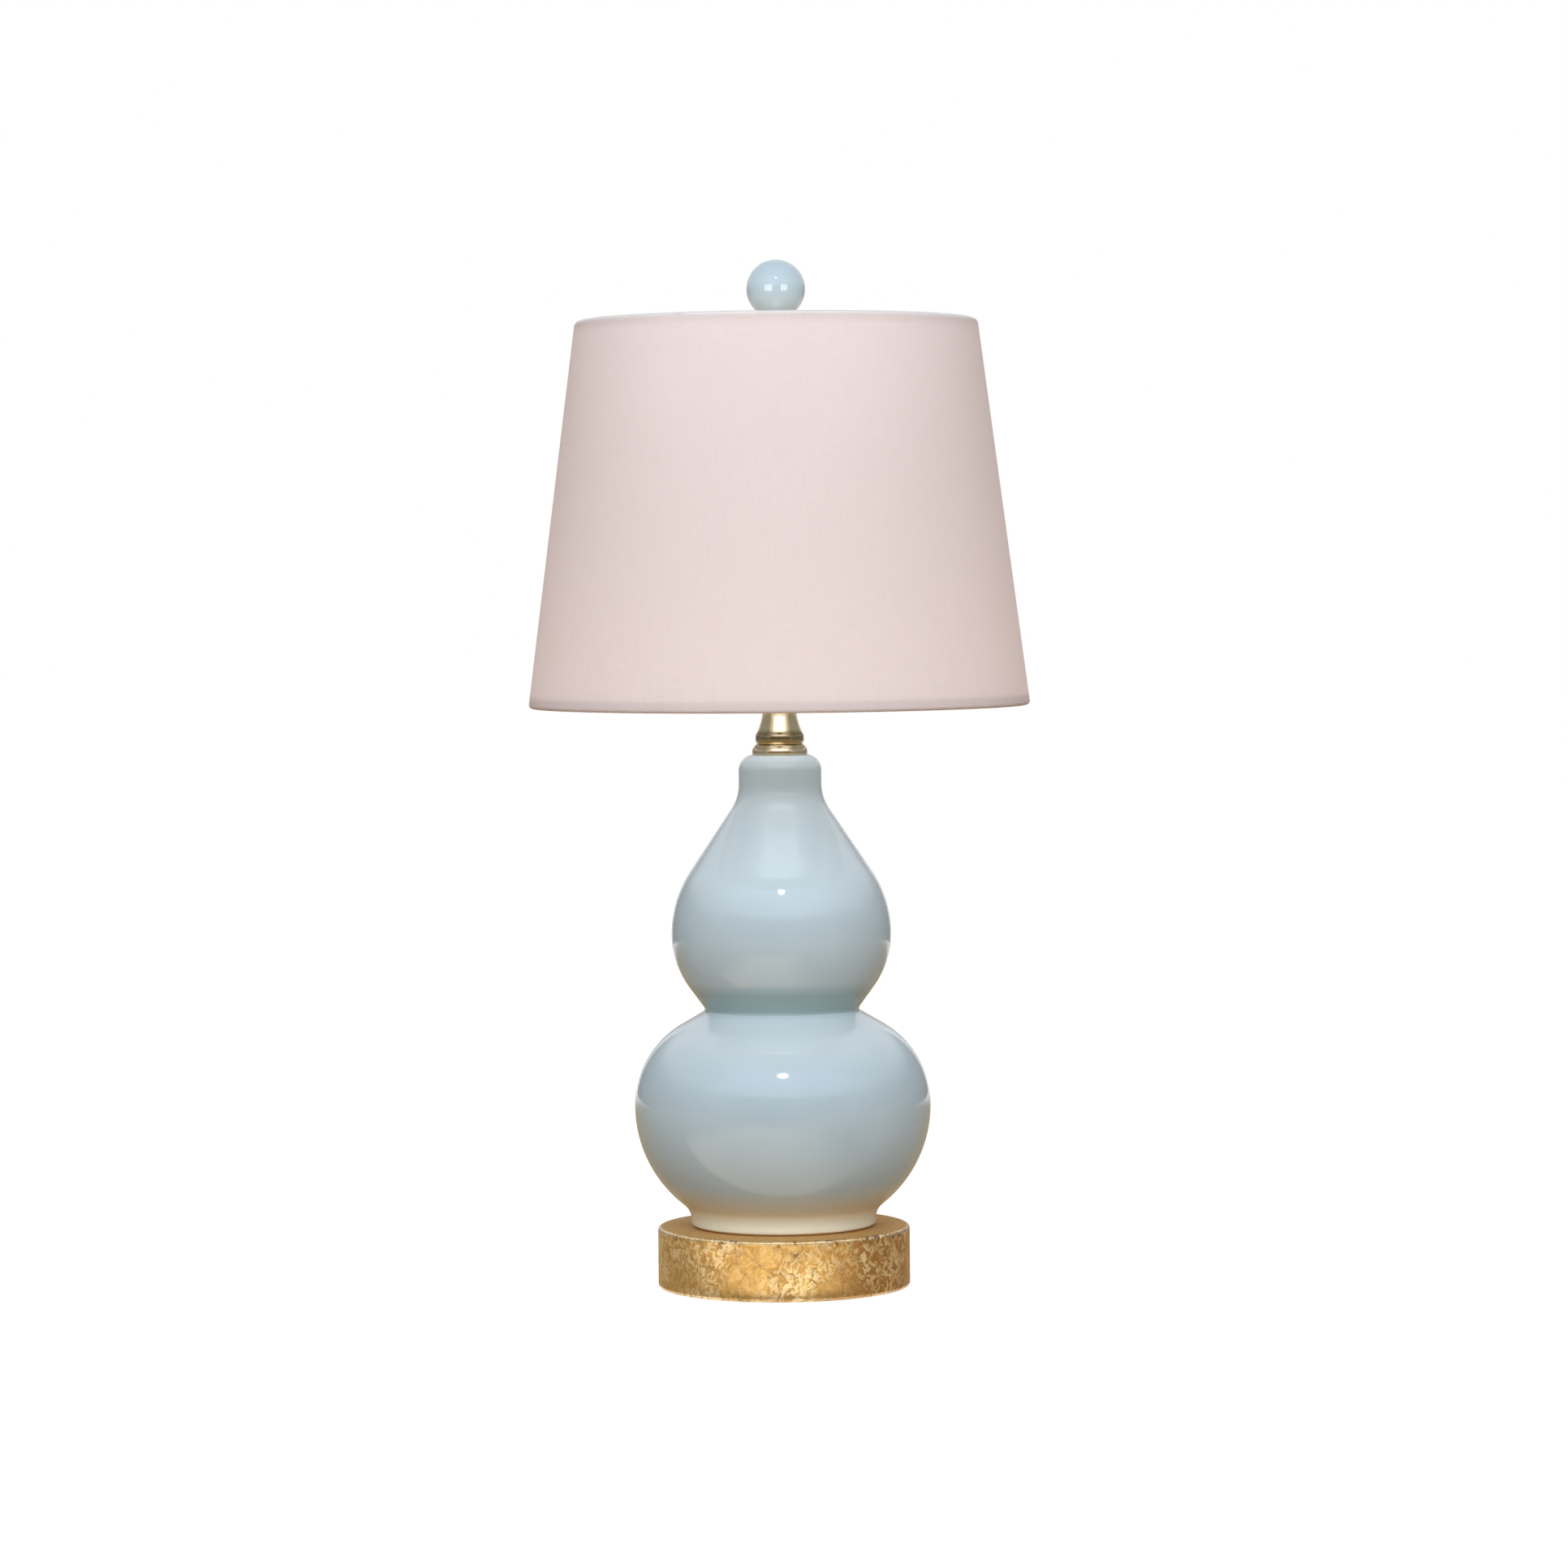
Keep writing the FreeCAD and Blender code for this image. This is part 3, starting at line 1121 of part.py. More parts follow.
turned("bulb_stem", (
    ("0", "0"),
    ("neck_radius - bulb_wall", "0"),
    ("stem_tip", "stem_taper"),
    ("stem_tip", "stem_high"),
    ("0", "stem_high"),
), "bulb_z + neck_low")
filament = sub_part("bulb_filament", "bulb_z + neck_low")
wire_run(filament, "filament_wire_run", (
    ("0 - filament_foot", "stem_high + filament_wire + thread_fit"),
    ("0 - filament_reach", "filament_high", "filament_bend"),
    ("0", "filament_dip", "filament_bend"),
    ("filament_reach", "filament_high", "filament_bend"),
    ("filament_foot", "stem_high + filament_wire + thread_fit"),
), "filament_wire", "XY_Plane", "stem_high + filament_wire + thread_fit")

# Every piece is checked, then written to its own file.
doc.recompute()
for item in doc.Objects:
    if "Invalid" in item.State or "Error" in item.State:
        raise RuntimeError(f"{item.Name} is {item.State}")
os.makedirs("parts", exist_ok=True)
for piece in pieces:
    shape = piece.Shape
    if shape.isNull() or not shape.isValid() or not shape.Solids:
        raise RuntimeError(f"{piece.Label} has no sound solid")
    shape.exportStep(f"parts/{piece.Label}.step")
    box = shape.BoundBox
    print(f"{piece.Label:22s} {len(shape.Solids)} {box.XMin:8.2f} {box.XMax:8.2f} {box.YMin:8.2f} "
          f"{box.YMax:8.2f} {box.ZMin:8.2f} {box.ZMax:8.2f}")
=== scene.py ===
import math

import bpy
from mathutils import Matrix, Vector


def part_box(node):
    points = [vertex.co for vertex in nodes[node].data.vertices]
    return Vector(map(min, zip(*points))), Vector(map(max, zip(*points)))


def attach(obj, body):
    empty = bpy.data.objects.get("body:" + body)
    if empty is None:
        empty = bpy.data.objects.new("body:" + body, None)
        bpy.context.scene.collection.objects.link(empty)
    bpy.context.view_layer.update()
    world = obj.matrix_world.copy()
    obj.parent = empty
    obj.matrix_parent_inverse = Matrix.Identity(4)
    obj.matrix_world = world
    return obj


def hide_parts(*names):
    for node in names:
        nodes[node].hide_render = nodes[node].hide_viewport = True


# Table lamp: a gilded base, a celadon double gourd, a brass column and socket, and a linen shade
# on a detachable harp. Metres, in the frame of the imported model; Z is up through the lamp's axis.
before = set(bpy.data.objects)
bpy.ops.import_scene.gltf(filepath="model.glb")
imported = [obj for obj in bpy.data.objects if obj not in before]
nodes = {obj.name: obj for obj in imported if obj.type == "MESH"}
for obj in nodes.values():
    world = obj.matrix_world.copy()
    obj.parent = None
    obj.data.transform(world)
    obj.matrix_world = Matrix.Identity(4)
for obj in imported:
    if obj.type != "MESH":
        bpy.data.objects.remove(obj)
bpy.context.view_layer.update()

# ---------------------------------------------------------------------------------------- base
# Turned wooden disc, coated with red-brown bole and covered with brass leaf. The leaf crumpled
# as it was laid on the size, so it is full of fine folds; it was then rubbed down and lacquered.


def to_linear(code):
    """sRGB hex colour as the linear RGBA a shader takes."""
    parts = [int(code[k:k + 2], 16) / 255 for k in (1, 3, 5)]
    return tuple(p / 12.92 if p <= 0.04045 else ((p + 0.055) / 1.055) ** 2.4 for p in parts) + (1.0,)


def add(material, kind, feeds=None, **options):
    """Adds one node: options are its own settings, and feeds give its inputs a value or a link."""
    made = material.node_tree.nodes.new("ShaderNode" + kind)
    for name, value in options.items():
        setattr(made, name, value)
    for name, source in (feeds or {}).items():
        entry = made.inputs[name] if isinstance(name, int) else next(
            s for s in made.inputs if s.enabled and s.name == name)
        if isinstance(source, bpy.types.Node):
            source = next(s for s in source.outputs if s.enabled)
        if isinstance(source, bpy.types.NodeSocket):
            material.node_tree.links.new(source, entry)
        else:
            entry.default_value = to_linear(source) if isinstance(source, str) else source
    return made


def new_material(name):
    """Empty material, and its place node: the point on the piece in millimetres."""
    material = bpy.data.materials.new(name)
    material.use_nodes = True
    material.node_tree.nodes.clear()
    spot = add(material, "TexCoord").outputs["Object"]
    return material, add(material, "Mapping", {"Vector": spot, "Scale": (1000.0, 1000.0, 1000.0)})


def paint(material, *names):
    """Gives the material to CAD nodes that keep their own shape."""
    for name in names:
        for entry in nodes[name].material_slots:
            entry.material = material


# Brass leaf over bole: it broke into slanting flakes 2 to 5 mm long as it was laid. Painted highlight and
# shade:
# the flakes are painted pale cream where they would catch the light and brown gold in the folds between them,
# and the dark bole shows in a few rubbed spots.
# Painted light and shade across the base: more pale flakes on the left (-X), and redder, darker gold on the
# right.
gilding, place = new_material("brass_leaf_over_bole")
eddy = add(gilding, "TexNoise", {"Vector": place, "Scale": 1 / 6, "Detail": 1.0})
swirl = add(gilding, "VectorMath", {0: eddy.outputs["Color"], 1: (9.0, 9.0, 9.0), 2: place},
            operation="MULTIPLY_ADD")
slant = add(gilding, "Mapping", {"Vector": swirl, "Rotation": (0.7, 0.8, 0.5), "Scale": (1.0, 1.0, 0.75)})
patch = add(gilding, "TexNoise", {"Vector": swirl, "Scale": 1 / 7, "Detail": 5.0, "Roughness": 0.62})
flake = add(gilding, "TexVoronoi", {"Vector": slant, "Scale": 1 / 1.8})
crumple = add(gilding, "TexNoise", {"Vector": slant, "Scale": 1 / 1.5, "Detail": 4.0, "Roughness": 0.7})
crowd = add(gilding, "TexNoise", {"Vector": place, "Scale": 1 / 34, "Detail": 1.0})
aside = add(gilding, "SeparateXYZ", {"Vector": place}).outputs["X"]
# Painted light: more pale flakes towards the left (-X).
painted_side_light = add(gilding, "MapRange", {"Value": aside, "From Min": -12.0, "From Max": 42.0, "To Min": 0.04,
                                      "To Max": -0.12})
crowded = add(gilding, "Math", {0: crowd.outputs["Fac"], 1: painted_side_light}, operation="ADD")
depth = add(gilding, "MapRange", {"Value": patch.outputs["Fac"], "From Min": 0.36, "From Max": 0.66})
gold = add(gilding, "Mix", {"Factor": depth, "A": "#bb914b", "B": "#e0ba74"}, data_type="RGBA")
# Painted shade: the gold turns redder and darker towards the right (+X).
painted_right_shade = add(gilding, "MapRange", {"Value": aside, "From Min": 16.0, "From Max": 52.0, "To Max": 0.65})
side_shaded_gold = add(gilding, "Mix", {"Factor": painted_right_shade, "A": gold, "B": "#aa6824"}, data_type="RGBA")
catch = add(gilding, "Math", {0: flake.outputs["Color"], 1: 0.5, 2: crumple.outputs["Fac"]},
            operation="MULTIPLY_ADD")
lit = add(gilding, "MapRange", {"Value": catch, "From Min": 0.66, "From Max": 0.88},
          interpolation_type="SMOOTHSTEP")
dense = add(gilding, "MapRange", {"Value": crowded, "From Min": 0.4, "From Max": 0.58, "To Min": 0.3})
bright = add(gilding, "Math", {0: lit, 1: dense}, operation="MULTIPLY")
# Painted highlight: pale cream on the flakes that would catch the light.
flake_highlighted = add(gilding, "Mix", {"Factor": bright, "A": side_shaded_gold, "B": "#fbe6b6"}, data_type="RGBA")
shaded = add(gilding, "MapRange", {"Value": catch, "From Min": 0.52, "From Max": 0.36, "To Max": 0.5})
# Painted shade: brown in the folds between the flakes.
fold_shaded = add(gilding, "Mix", {"Factor": shaded, "A": flake_highlighted, "B": "#95602a"}, data_type="RGBA")
worn = add(gilding, "MapRange", {"Value": patch.outputs["Fac"], "From Min": 0.33, "From Max": 0.25})
rubbed = add(gilding, "Mix", {"Factor": worn, "A": fold_shaded, "B": "#7d4d20"}, data_type="RGBA")

# Along the top edge the leaf is smoother, with a pale band painted on as a highlight, and it is chipped there
# down to the dark bole.
base_top_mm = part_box("base_block")[1].z * 1000
base_level = add(gilding, "SeparateXYZ", {"Vector": place}).outputs["Z"]
under_edge = add(gilding, "MapRange", {"Value": base_level, "From Min": base_top_mm - 2.8,
                                       "From Max": base_top_mm - 1.2})
off_top = add(gilding, "MapRange", {"Value": base_level, "From Min": base_top_mm - 0.02,
                                    "From Max": base_top_mm - 0.2})
edge = add(gilding, "Math", {0: under_edge, 1: off_top}, operation="MULTIPLY")
# Painted highlight: a pale cream band just under the top edge.
painted_edge_highlight = add(gilding, "Math", {0: edge, 1: 0.2}, operation="MULTIPLY")
edge_highlighted = add(gilding, "Mix", {"Factor": painted_edge_highlight, "A": rubbed, "B": "#f6deaa"}, data_type="RGBA")
knock = add(gilding, "TexNoise", {"Vector": place, "Scale": 1 / 4, "Detail": 3.0})
knocked = add(gilding, "MapRange", {"Value": knock.outputs["Fac"], "From Min": 0.58, "From Max": 0.64,
                                    "To Max": 0.85})
chip_band = add(gilding, "MapRange", {"Value": base_level, "From Min": base_top_mm - 3.8,
                                      "From Max": base_top_mm - 2.4})
chip_place = add(gilding, "Math", {0: chip_band, 1: off_top}, operation="MULTIPLY")
chip = add(gilding, "Math", {0: knocked, 1: chip_place}, operation="MULTIPLY")
leaf_colour = add(gilding, "Mix", {"Factor": chip, "A": edge_highlighted, "B": "#54381c"}, data_type="RGBA")
relief = add(gilding, "Math", {0: catch, 1: 0.35, 2: patch.outputs["Fac"]}, operation="MULTIPLY_ADD")
leaf_bump = add(gilding, "Bump", {"Height": relief, "Strength": 0.55, "Distance": 0.0009})
dull = add(gilding, "MapRange", {"Value": patch.outputs["Fac"], "To Min": 0.52, "To Max": 0.3})
whole = add(gilding, "MapRange", {"Value": patch.outputs["Fac"], "From Min": 0.26, "From Max": 0.5,
                                  "To Min": 0.3, "To Max": 0.95})

# The flat top was rubbed down and left without lacquer, so it is plainer and duller than the side.
on_top = add(gilding, "MapRange", {"Value": base_level, "From Min": base_top_mm - 0.1,
                                   "From Max": base_top_mm - 0.02, "To Max": 0.8})
top_colour = add(gilding, "Mix", {"Factor": on_top, "A": leaf_colour, "B": "#c3944a"}, data_type="RGBA")
top_metal = add(gilding, "Mix", {"Factor": on_top, "A": whole, "B": 0.1})
edge_dull = add(gilding, "Mix", {"Factor": edge, "A": dull, "B": 0.28})
top_dull = add(gilding, "Mix", {"Factor": on_top, "A": edge_dull, "B": 0.75})
top_coat = add(gilding, "Mix", {"Factor": on_top, "A": 0.5, "B": 0.0})
leaf = add(gilding, "BsdfPrincipled", {
    "Base Color": top_colour, "Metallic": top_metal, "Roughness": top_dull, "Normal": leaf_bump,
    "Coat Weight": top_coat, "Coat Roughness": 0.3})
add(gilding, "OutputMaterial", {"Surface": leaf})
paint(gilding, "base_block")

# ---------------------------------------------------------------------------------------- felt
# Disc of pressed wool felt glued in the recess under the base. It stands half a millimetre proud,
# so that the lamp rests on it and not on the gilding.

# Pressed wool: matt, with short tangled fibres about half a millimetre long.
wool, place = new_material("pressed_wool_felt")
fibre = add(wool, "TexNoise", {"Vector": place, "Scale": 2.2, "Detail": 6.0, "Roughness": 0.75})
tuft = add(wool, "TexNoise", {"Vector": place, "Scale": 1 / 5, "Detail": 2.0})
nap = add(wool, "Mix", {"Factor": fibre.outputs["Fac"], "A": "#2b2420", "B": "#57493f"}, data_type="RGBA")
shade_of_nap = add(wool, "Mix", {"Factor": tuft.outputs["Fac"], "A": nap, "B": "#3f352d"}, data_type="RGBA")
nap_bump = add(wool, "Bump", {"Height": fibre.outputs["Fac"], "Strength": 0.8, "Distance": 0.0004})
felt = add(wool, "BsdfPrincipled", {
    "Base Color": shade_of_nap, "Roughness": 0.95, "Sheen Weight": 0.35, "Sheen Roughness": 0.5,
    "Normal": nap_bump})
add(wool, "OutputMaterial", {"Surface": felt})
paint(wool, "base_felt")

# --------------------------------------------------------------------------- bushing and gasket
# Rubber: the moulded bushing with a flange, pressed in the cord inlet at the back, and the thin ring
# cut from sheet that cushions the gourd's foot on the base.

# Moulded black rubber: satin, with a faint bloom and the fine grain of the mould.
rubber, place = new_material("moulded_rubber")
bloom = add(rubber, "TexNoise", {"Vector": place, "Scale": 1 / 3, "Detail": 3.0})
grain = add(rubber, "TexNoise", {"Vector": place, "Scale": 3.0, "Detail": 4.0})
black = add(rubber, "Mix", {"Factor": bloom.outputs["Fac"], "A": "#141314", "B": "#2a2827"}, data_type="RGBA")
grain_bump = add(rubber, "Bump", {"Height": grain.outputs["Fac"], "Strength": 0.3, "Distance": 0.0001})
moulded = add(rubber, "BsdfPrincipled", {
    "Base Color": black, "Roughness": 0.6, "IOR": 1.52, "Normal": grain_bump})
add(rubber, "OutputMaterial", {"Surface": moulded})
paint(rubber, "cord_bushing")

# Tan sheet rubber, cut with a die: matt and softly mottled. Its brown line under the foot also stands in for
# the contact shadow there, as painted shade.
tan_rubber, place = new_material("cut_tan_rubber")
mottle = add(tan_rubber, "TexNoise", {"Vector": place, "Scale": 1 / 4, "Detail": 4.0})
tan = add(tan_rubber, "Mix", {"Factor": mottle.outputs["Fac"], "A": "#84592c", "B": "#a4763f"},
          data_type="RGBA")
tan_bump = add(tan_rubber, "Bump", {"Height": mottle.outputs["Fac"], "Strength": 0.3, "Distance": 0.0001})
cut = add(tan_rubber, "BsdfPrincipled", {
    "Base Color": tan, "Roughness": 0.7, "IOR": 1.52, "Normal": tan_bump})
add(tan_rubber, "OutputMaterial", {"Surface": cut})
paint(tan_rubber, "seat_gasket")

# ------------------------------------------------------------------------------ pipe and clamps
# Threaded steel pipe that ties the column together, with the washer, toothed washer and nut that
# draw it down inside the base, and the nut that holds the harp saddle.

# Zinc-plated steel: cool grey with a cloudy plating and the rings left by the lathe.
zinc, place = new_material("zinc_plated_steel")
cloud = add(zinc, "TexNoise", {"Vector": place, "Scale": 1 / 2, "Detail": 4.0})
plating = add(zinc, "Mix", {"Factor": cloud.outputs["Fac"], "A": "#a3a8ad", "B": "#ced1d2"}, data_type="RGBA")
uneven = add(zinc, "MapRange", {"Value": cloud.outputs["Fac"], "To Min": 0.28, "To Max": 0.48})
plated = add(zinc, "BsdfPrincipled", {"Base Color": plating, "Metallic": 1.0, "Roughness": uneven})
add(zinc, "OutputMaterial", {"Surface": plated})
paint(zinc, "bottom_washer", "lock_washer", "bottom_nut", "saddle_nut", "socket_set_screw")

# The pipe's own finish: the same plating over a rolled thread of 27 turns to the inch, its valleys painted
# darker as painted shade.
thread_pitch = 0.94
rolled, place = new_material("rolled_steel_thread")
turns = add(rolled, "TexWave", {"Vector": place, "Scale": math.tau / 20 / thread_pitch},
            wave_type="BANDS", bands_direction="Z")
thread_valley_shade = add(rolled, "Mix", {"Factor": turns.outputs["Fac"], "A": "#6f7376", "B": "#c9cccd"},
             data_type="RGBA")
turn_bump = add(rolled, "Bump", {"Height": turns.outputs["Fac"], "Strength": 1.0, "Distance": 0.0005})
threaded = add(rolled, "BsdfPrincipled", {
    "Base Color": thread_valley_shade, "Metallic": 1.0, "Roughness": 0.35, "Normal": turn_bump})
add(rolled, "OutputMaterial", {"Surface": threaded})
paint(rolled, "lamp_pipe")

# --------------------------------------------------------------------------------------- gourd
# Hollow double gourd, slip-cast in two bulbs with a sharp crease at the waist, then glazed and
# fired. It stands on its foot ring, and the pipe clamps it from the collar down.


def bow(start, finish, radius, side, steps):
    """Points along the short arc between two (across, up) points; side +1 has its centre on the left."""
    start, finish = Vector(start), Vector(finish)
    way = finish - start
    normal = Vector((-way.y, way.x)) * (side / way.length)
    centre = (start + finish) / 2 + normal * math.sqrt(max(radius ** 2 - way.length_squared / 4, 0.0))
    first, last = (math.atan2(end.y - centre.y, end.x - centre.x) for end in (start, finish))
    sweep = math.remainder(last - first, math.tau)
    return [(centre.x + radius * math.cos(first + sweep * k / steps),
             centre.y + radius * math.sin(first + sweep * k / steps)) for k in range(steps + 1)]


def lathe(name, outline, steps, lift=0.0, round_it=True):
    """Closed piece turned from an outline of (across, up) points, anticlockwise seen from +Y."""
    spots = [spot for k, spot in enumerate(outline) if math.dist(spot, outline[k - 1]) > 1e-7]
    points = []
    for k in range(steps):
        turn = math.tau * k / steps
        points += [(across * math.cos(turn), across * math.sin(turn), up + lift) for across, up in spots]
    size = len(spots)
    faces = []
    for k in range(steps):
        near, far = k * size, (k + 1) % steps * size
        for row in range(size):
            after = (row + 1) % size
            faces.append((near + row, far + row, far + after, near + after))
    mesh = bpy.data.meshes.new(name)
    mesh.from_pydata(points, [], faces)
    mesh.validate()
    mesh.shade_smooth()
    if round_it:
        mesh.set_sharp_from_angle(angle=math.radians(32))
    piece = bpy.data.objects.new(name, mesh)
    bpy.context.scene.collection.objects.link(piece)
    return piece


def fit(piece, material, slot, body, *stands_for):
    """Gives a made piece its finish and body, in the place of the CAD nodes it stands for."""
    piece.data.materials.append(material)
    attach(piece, body)
    if stands_for:
        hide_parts(*stands_for)


def touch(bulge, dip):
    """Ends of the straight flank that is smooth with a bulging circle and a hollow one."""
    gap = Vector(dip[:2]) - Vector(bulge[:2])
    toward = gap.normalized()
    lean = (bulge[2] + dip[2]) / gap.length
    rise = math.sqrt(1 - lean ** 2)
    pairs = []
    for side in (1, -1):
        normal = Vector((toward.x * lean - side * toward.y * rise, side * toward.x * rise + toward.y * lean))
        pairs.append((Vector(bulge[:2]) + normal * bulge[2], Vector(dip[:2]) - normal * dip[2]))
    return max(pairs, key=lambda pair: pair[0].x)


gourd_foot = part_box("gourd_body")[0].z
gourd_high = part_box("gourd_body")[1].z - gourd_foot
foot_radius, foot_rise, foot_hollow = 0.0469, 0.0026, 0.0100
lower_radius, lower_level, lower_under, lower_over = 0.0751, 0.0606, 0.0636, 0.0476
waist_radius, waist_level, waist_crease = 0.0394, 0.1099, 0.00205
upper_radius, upper_level, upper_under, upper_over = 0.0557, 0.1474, 0.0446, 0.0578
throat_radius, throat_level, throat_hollow, collar_round = 0.0210, 0.2240, 0.0235, 0.0080
pipe_hole, recess_radius, recess_high, foot_edge = 0.0062, 0.0380, 0.0030, 0.0012
lower_widest = (lower_radius, lower_level)
upper_widest = (upper_radius, upper_level)
waist_circle = (waist_radius + waist_crease, waist_level, waist_crease)
foot_flank = touch((lower_radius - lower_under, lower_level, lower_under),
                   (foot_radius + foot_hollow, foot_rise, foot_hollow))
lower_flank = touch((lower_radius - lower_over, lower_level, lower_over), waist_circle)
upper_flank = touch((upper_radius - upper_under, upper_level, upper_under), waist_circle)
throat_flank = touch((upper_radius - upper_over, upper_level, upper_over),
                     (throat_radius + throat_hollow, throat_level, throat_hollow))
gourd_outline = (
    [(pipe_hole, recess_high), (recess_radius, recess_high), (recess_radius, 0.0)]
    + bow((foot_radius - foot_edge, 0.0), (foot_radius, foot_edge), foot_edge, 1, 5)
    + bow((foot_radius, foot_rise), foot_flank[1], foot_hollow, -1, 10)
    + bow(foot_flank[0], lower_widest, lower_under, 1, 36)
    + bow(lower_widest, lower_flank[0], lower_over, 1, 36)
    + bow(lower_flank[1], upper_flank[1], waist_crease, -1, 12)
    + bow(upper_flank[0], upper_widest, upper_under, 1, 30)
    + bow(upper_widest, throat_flank[0], upper_over, 1, 36)
    + bow(throat_flank[1], (throat_radius, throat_level), throat_hollow, -1, 20)
    + bow((throat_radius, gourd_high - collar_round), (throat_radius - collar_round, gourd_high),
          collar_round, 1, 12)
    + [(pipe_hole, gourd_high)]
)
gourd = lathe("celadon_gourd", gourd_outline, 200, gourd_foot)

# Celadon glaze fired on white stoneware: glassy and pale blue-green, deeper where it ran down and pooled
# above the crease, with painted shade there too; paler over the foot, as thin glaze and painted bounce light
# from the gilding; paler on the collar's edge where it thins, and on the lower bulb's shoulder as painted
# light.
celadon, place = new_material("celadon_glaze")
drift = add(celadon, "TexNoise", {"Vector": place, "Scale": 1 / 38, "Detail": 3.0})
pinhole = add(celadon, "TexNoise", {"Vector": place, "Scale": 1 / 1.6, "Detail": 3.0, "Roughness": 0.7})
wave = add(celadon, "TexNoise", {"Vector": place, "Scale": 1 / 16, "Detail": 1.0})
level = add(celadon, "SeparateXYZ", {"Vector": place}).outputs["Z"]
waist_mm = (gourd_foot + waist_level) * 1000
from_waist = add(celadon, "Math", {0: level, 1: waist_mm}, operation="SUBTRACT")
run_down = add(celadon, "MapRange", {"Value": from_waist, "From Min": 15.0, "From Max": 9.0, "To Max": 0.62})
above_waist = add(celadon, "MapRange", {"Value": from_waist, "From Min": -2.0, "From Max": 0.0})
# Darker band above the crease: pooled glaze and painted shade in the crease.
deep = add(celadon, "Math", {0: run_down, 1: above_waist}, operation="MULTIPLY")
# Painted light: the lower bulb's shoulder just under the crease is painted paler.
painted_shoulder_light = add(celadon, "MapRange", {"Value": from_waist, "From Min": -26.0, "From Max": -5.0,
                                         "To Max": 0.5})
below_waist = add(celadon, "MapRange", {"Value": from_waist, "From Min": -0.5, "From Max": -3.0})
shoulder = add(celadon, "Math", {0: painted_shoulder_light, 1: below_waist}, operation="MULTIPLY")
collar_mm = (gourd_foot + gourd_high) * 1000
from_collar = add(celadon, "Math", {0: level, 1: collar_mm}, operation="SUBTRACT")
off_collar = add(celadon, "Math", {0: from_collar}, operation="ABSOLUTE")
rim = add(celadon, "MapRange", {"Value": off_collar, "From Min": 4.0, "From Max": 0.0, "To Max": 0.5})
# Thin glaze on the collar's edge, and painted light on the lower bulb's shoulder.
thin_glaze_and_light = add(celadon, "Math", {0: rim, 1: shoulder}, operation="MAXIMUM")
foot_mm = gourd_foot * 1000
# Paler and warmer over the foot: thin glaze, and painted bounce light from the gilding.
foot_thin_and_bounce = add(celadon, "MapRange", {"Value": level, "From Min": foot_mm + 24.0, "From Max": foot_mm + 8.0,
                                      "To Max": 0.9})
body_tone = add(celadon, "Mix", {"Factor": drift.outputs["Fac"], "A": "#b4c8cd", "B": "#c1d4d9"},
                data_type="RGBA")
speck = add(celadon, "MapRange", {"Value": pinhole.outputs["Fac"], "From Min": 0.68, "From Max": 0.8,
                                  "To Max": 0.3})
specked = add(celadon, "Mix", {"Factor": speck, "A": body_tone, "B": "#a5b8b8"}, data_type="RGBA")
pooled_and_shaded = add(celadon, "Mix", {"Factor": deep, "A": specked, "B": "#84a19c"}, data_type="RGBA")
foot_warmed = add(celadon, "Mix", {"Factor": foot_thin_and_bounce, "A": pooled_and_shaded, "B": "#efeacf"}, data_type="RGBA")
glaze_colour = add(celadon, "Mix", {"Factor": thin_glaze_and_light, "A": foot_warmed, "B": "#d7e0e0"}, data_type="RGBA")
ripple = add(celadon, "Math", {0: pinhole.outputs["Fac"], 1: 0.02, 2: wave.outputs["Fac"]},
             operation="MULTIPLY_ADD")
glaze_bump = add(celadon, "Bump", {"Height": ripple, "Strength": 0.25, "Distance": 0.0006})
gloss = add(celadon, "MapRange", {"Value": drift.outputs["Fac"], "To Min": 0.05, "To Max": 0.1})
glaze = add(celadon, "BsdfPrincipled", {
    "Base Color": glaze_colour, "Roughness": gloss, "IOR": 1.52, "Normal": glaze_bump})
add(celadon, "OutputMaterial", {"Surface": glaze})
fit(gourd, celadon, "celadon_glaze", "lamp", "gourd_body")

# -------------------------------------------------------------------------------- brass column
# Turned brass: a vase cap that seats on the collar and a tapered neck with one bead, both bored
# for the pipe, polished on the lathe and lacquered.
pipe_bore = 0.00505
cap_flange, cap_edge, cap_groove, cap_sweep, edge_break = 0.0140, 0.0020, 0.0112, 0.0046, 0.0005
cap_low, cap_high = (corner.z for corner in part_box("vase_cap"))
cap_outline = (
    [(pipe_bore, 0.0)]
    + bow((cap_flange - edge_break, 0.0), (cap_flange, edge_break), edge_break, 1, 4)
    + bow((cap_flange, cap_edge), (cap_groove, cap_high - cap_low), cap_sweep, 1, 10)
    + [(pipe_bore, cap_high - cap_low)]
)
vase_cap = lathe("turned_vase_cap", cap_outline, 128, cap_low)
bead_radius, bead_level, bead_over, bead_under = 0.01225, 0.0033, 0.0030, 0.0060
shoulder_radius, shoulder_high, neck_sweep = 0.01135, 0.0058, 0.0450
neck_waist, neck_waist_high, neck_top = 0.0087, 0.0144, 0.0082
neck_low, neck_high = (corner.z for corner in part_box("brass_neck"))
neck_outline = (
    [(pipe_bore, 0.0), (cap_groove, 0.0)]
    + bow((cap_groove + edge_break, 0.0), (bead_radius, bead_level), bead_under, 1, 10)
    + bow((bead_radius, bead_level), (shoulder_radius, shoulder_high), bead_over, 1, 10)
    + bow((shoulder_radius, shoulder_high), (neck_waist, neck_waist_high), neck_sweep, -1, 14)
    + bow((neck_top, neck_high - neck_low - edge_break), (neck_top - edge_break, neck_high - neck_low),
          edge_break, 1, 4)
    + [(pipe_bore, neck_high - neck_low)]
)
column = lathe("turned_neck", neck_outline, 128, neck_low)

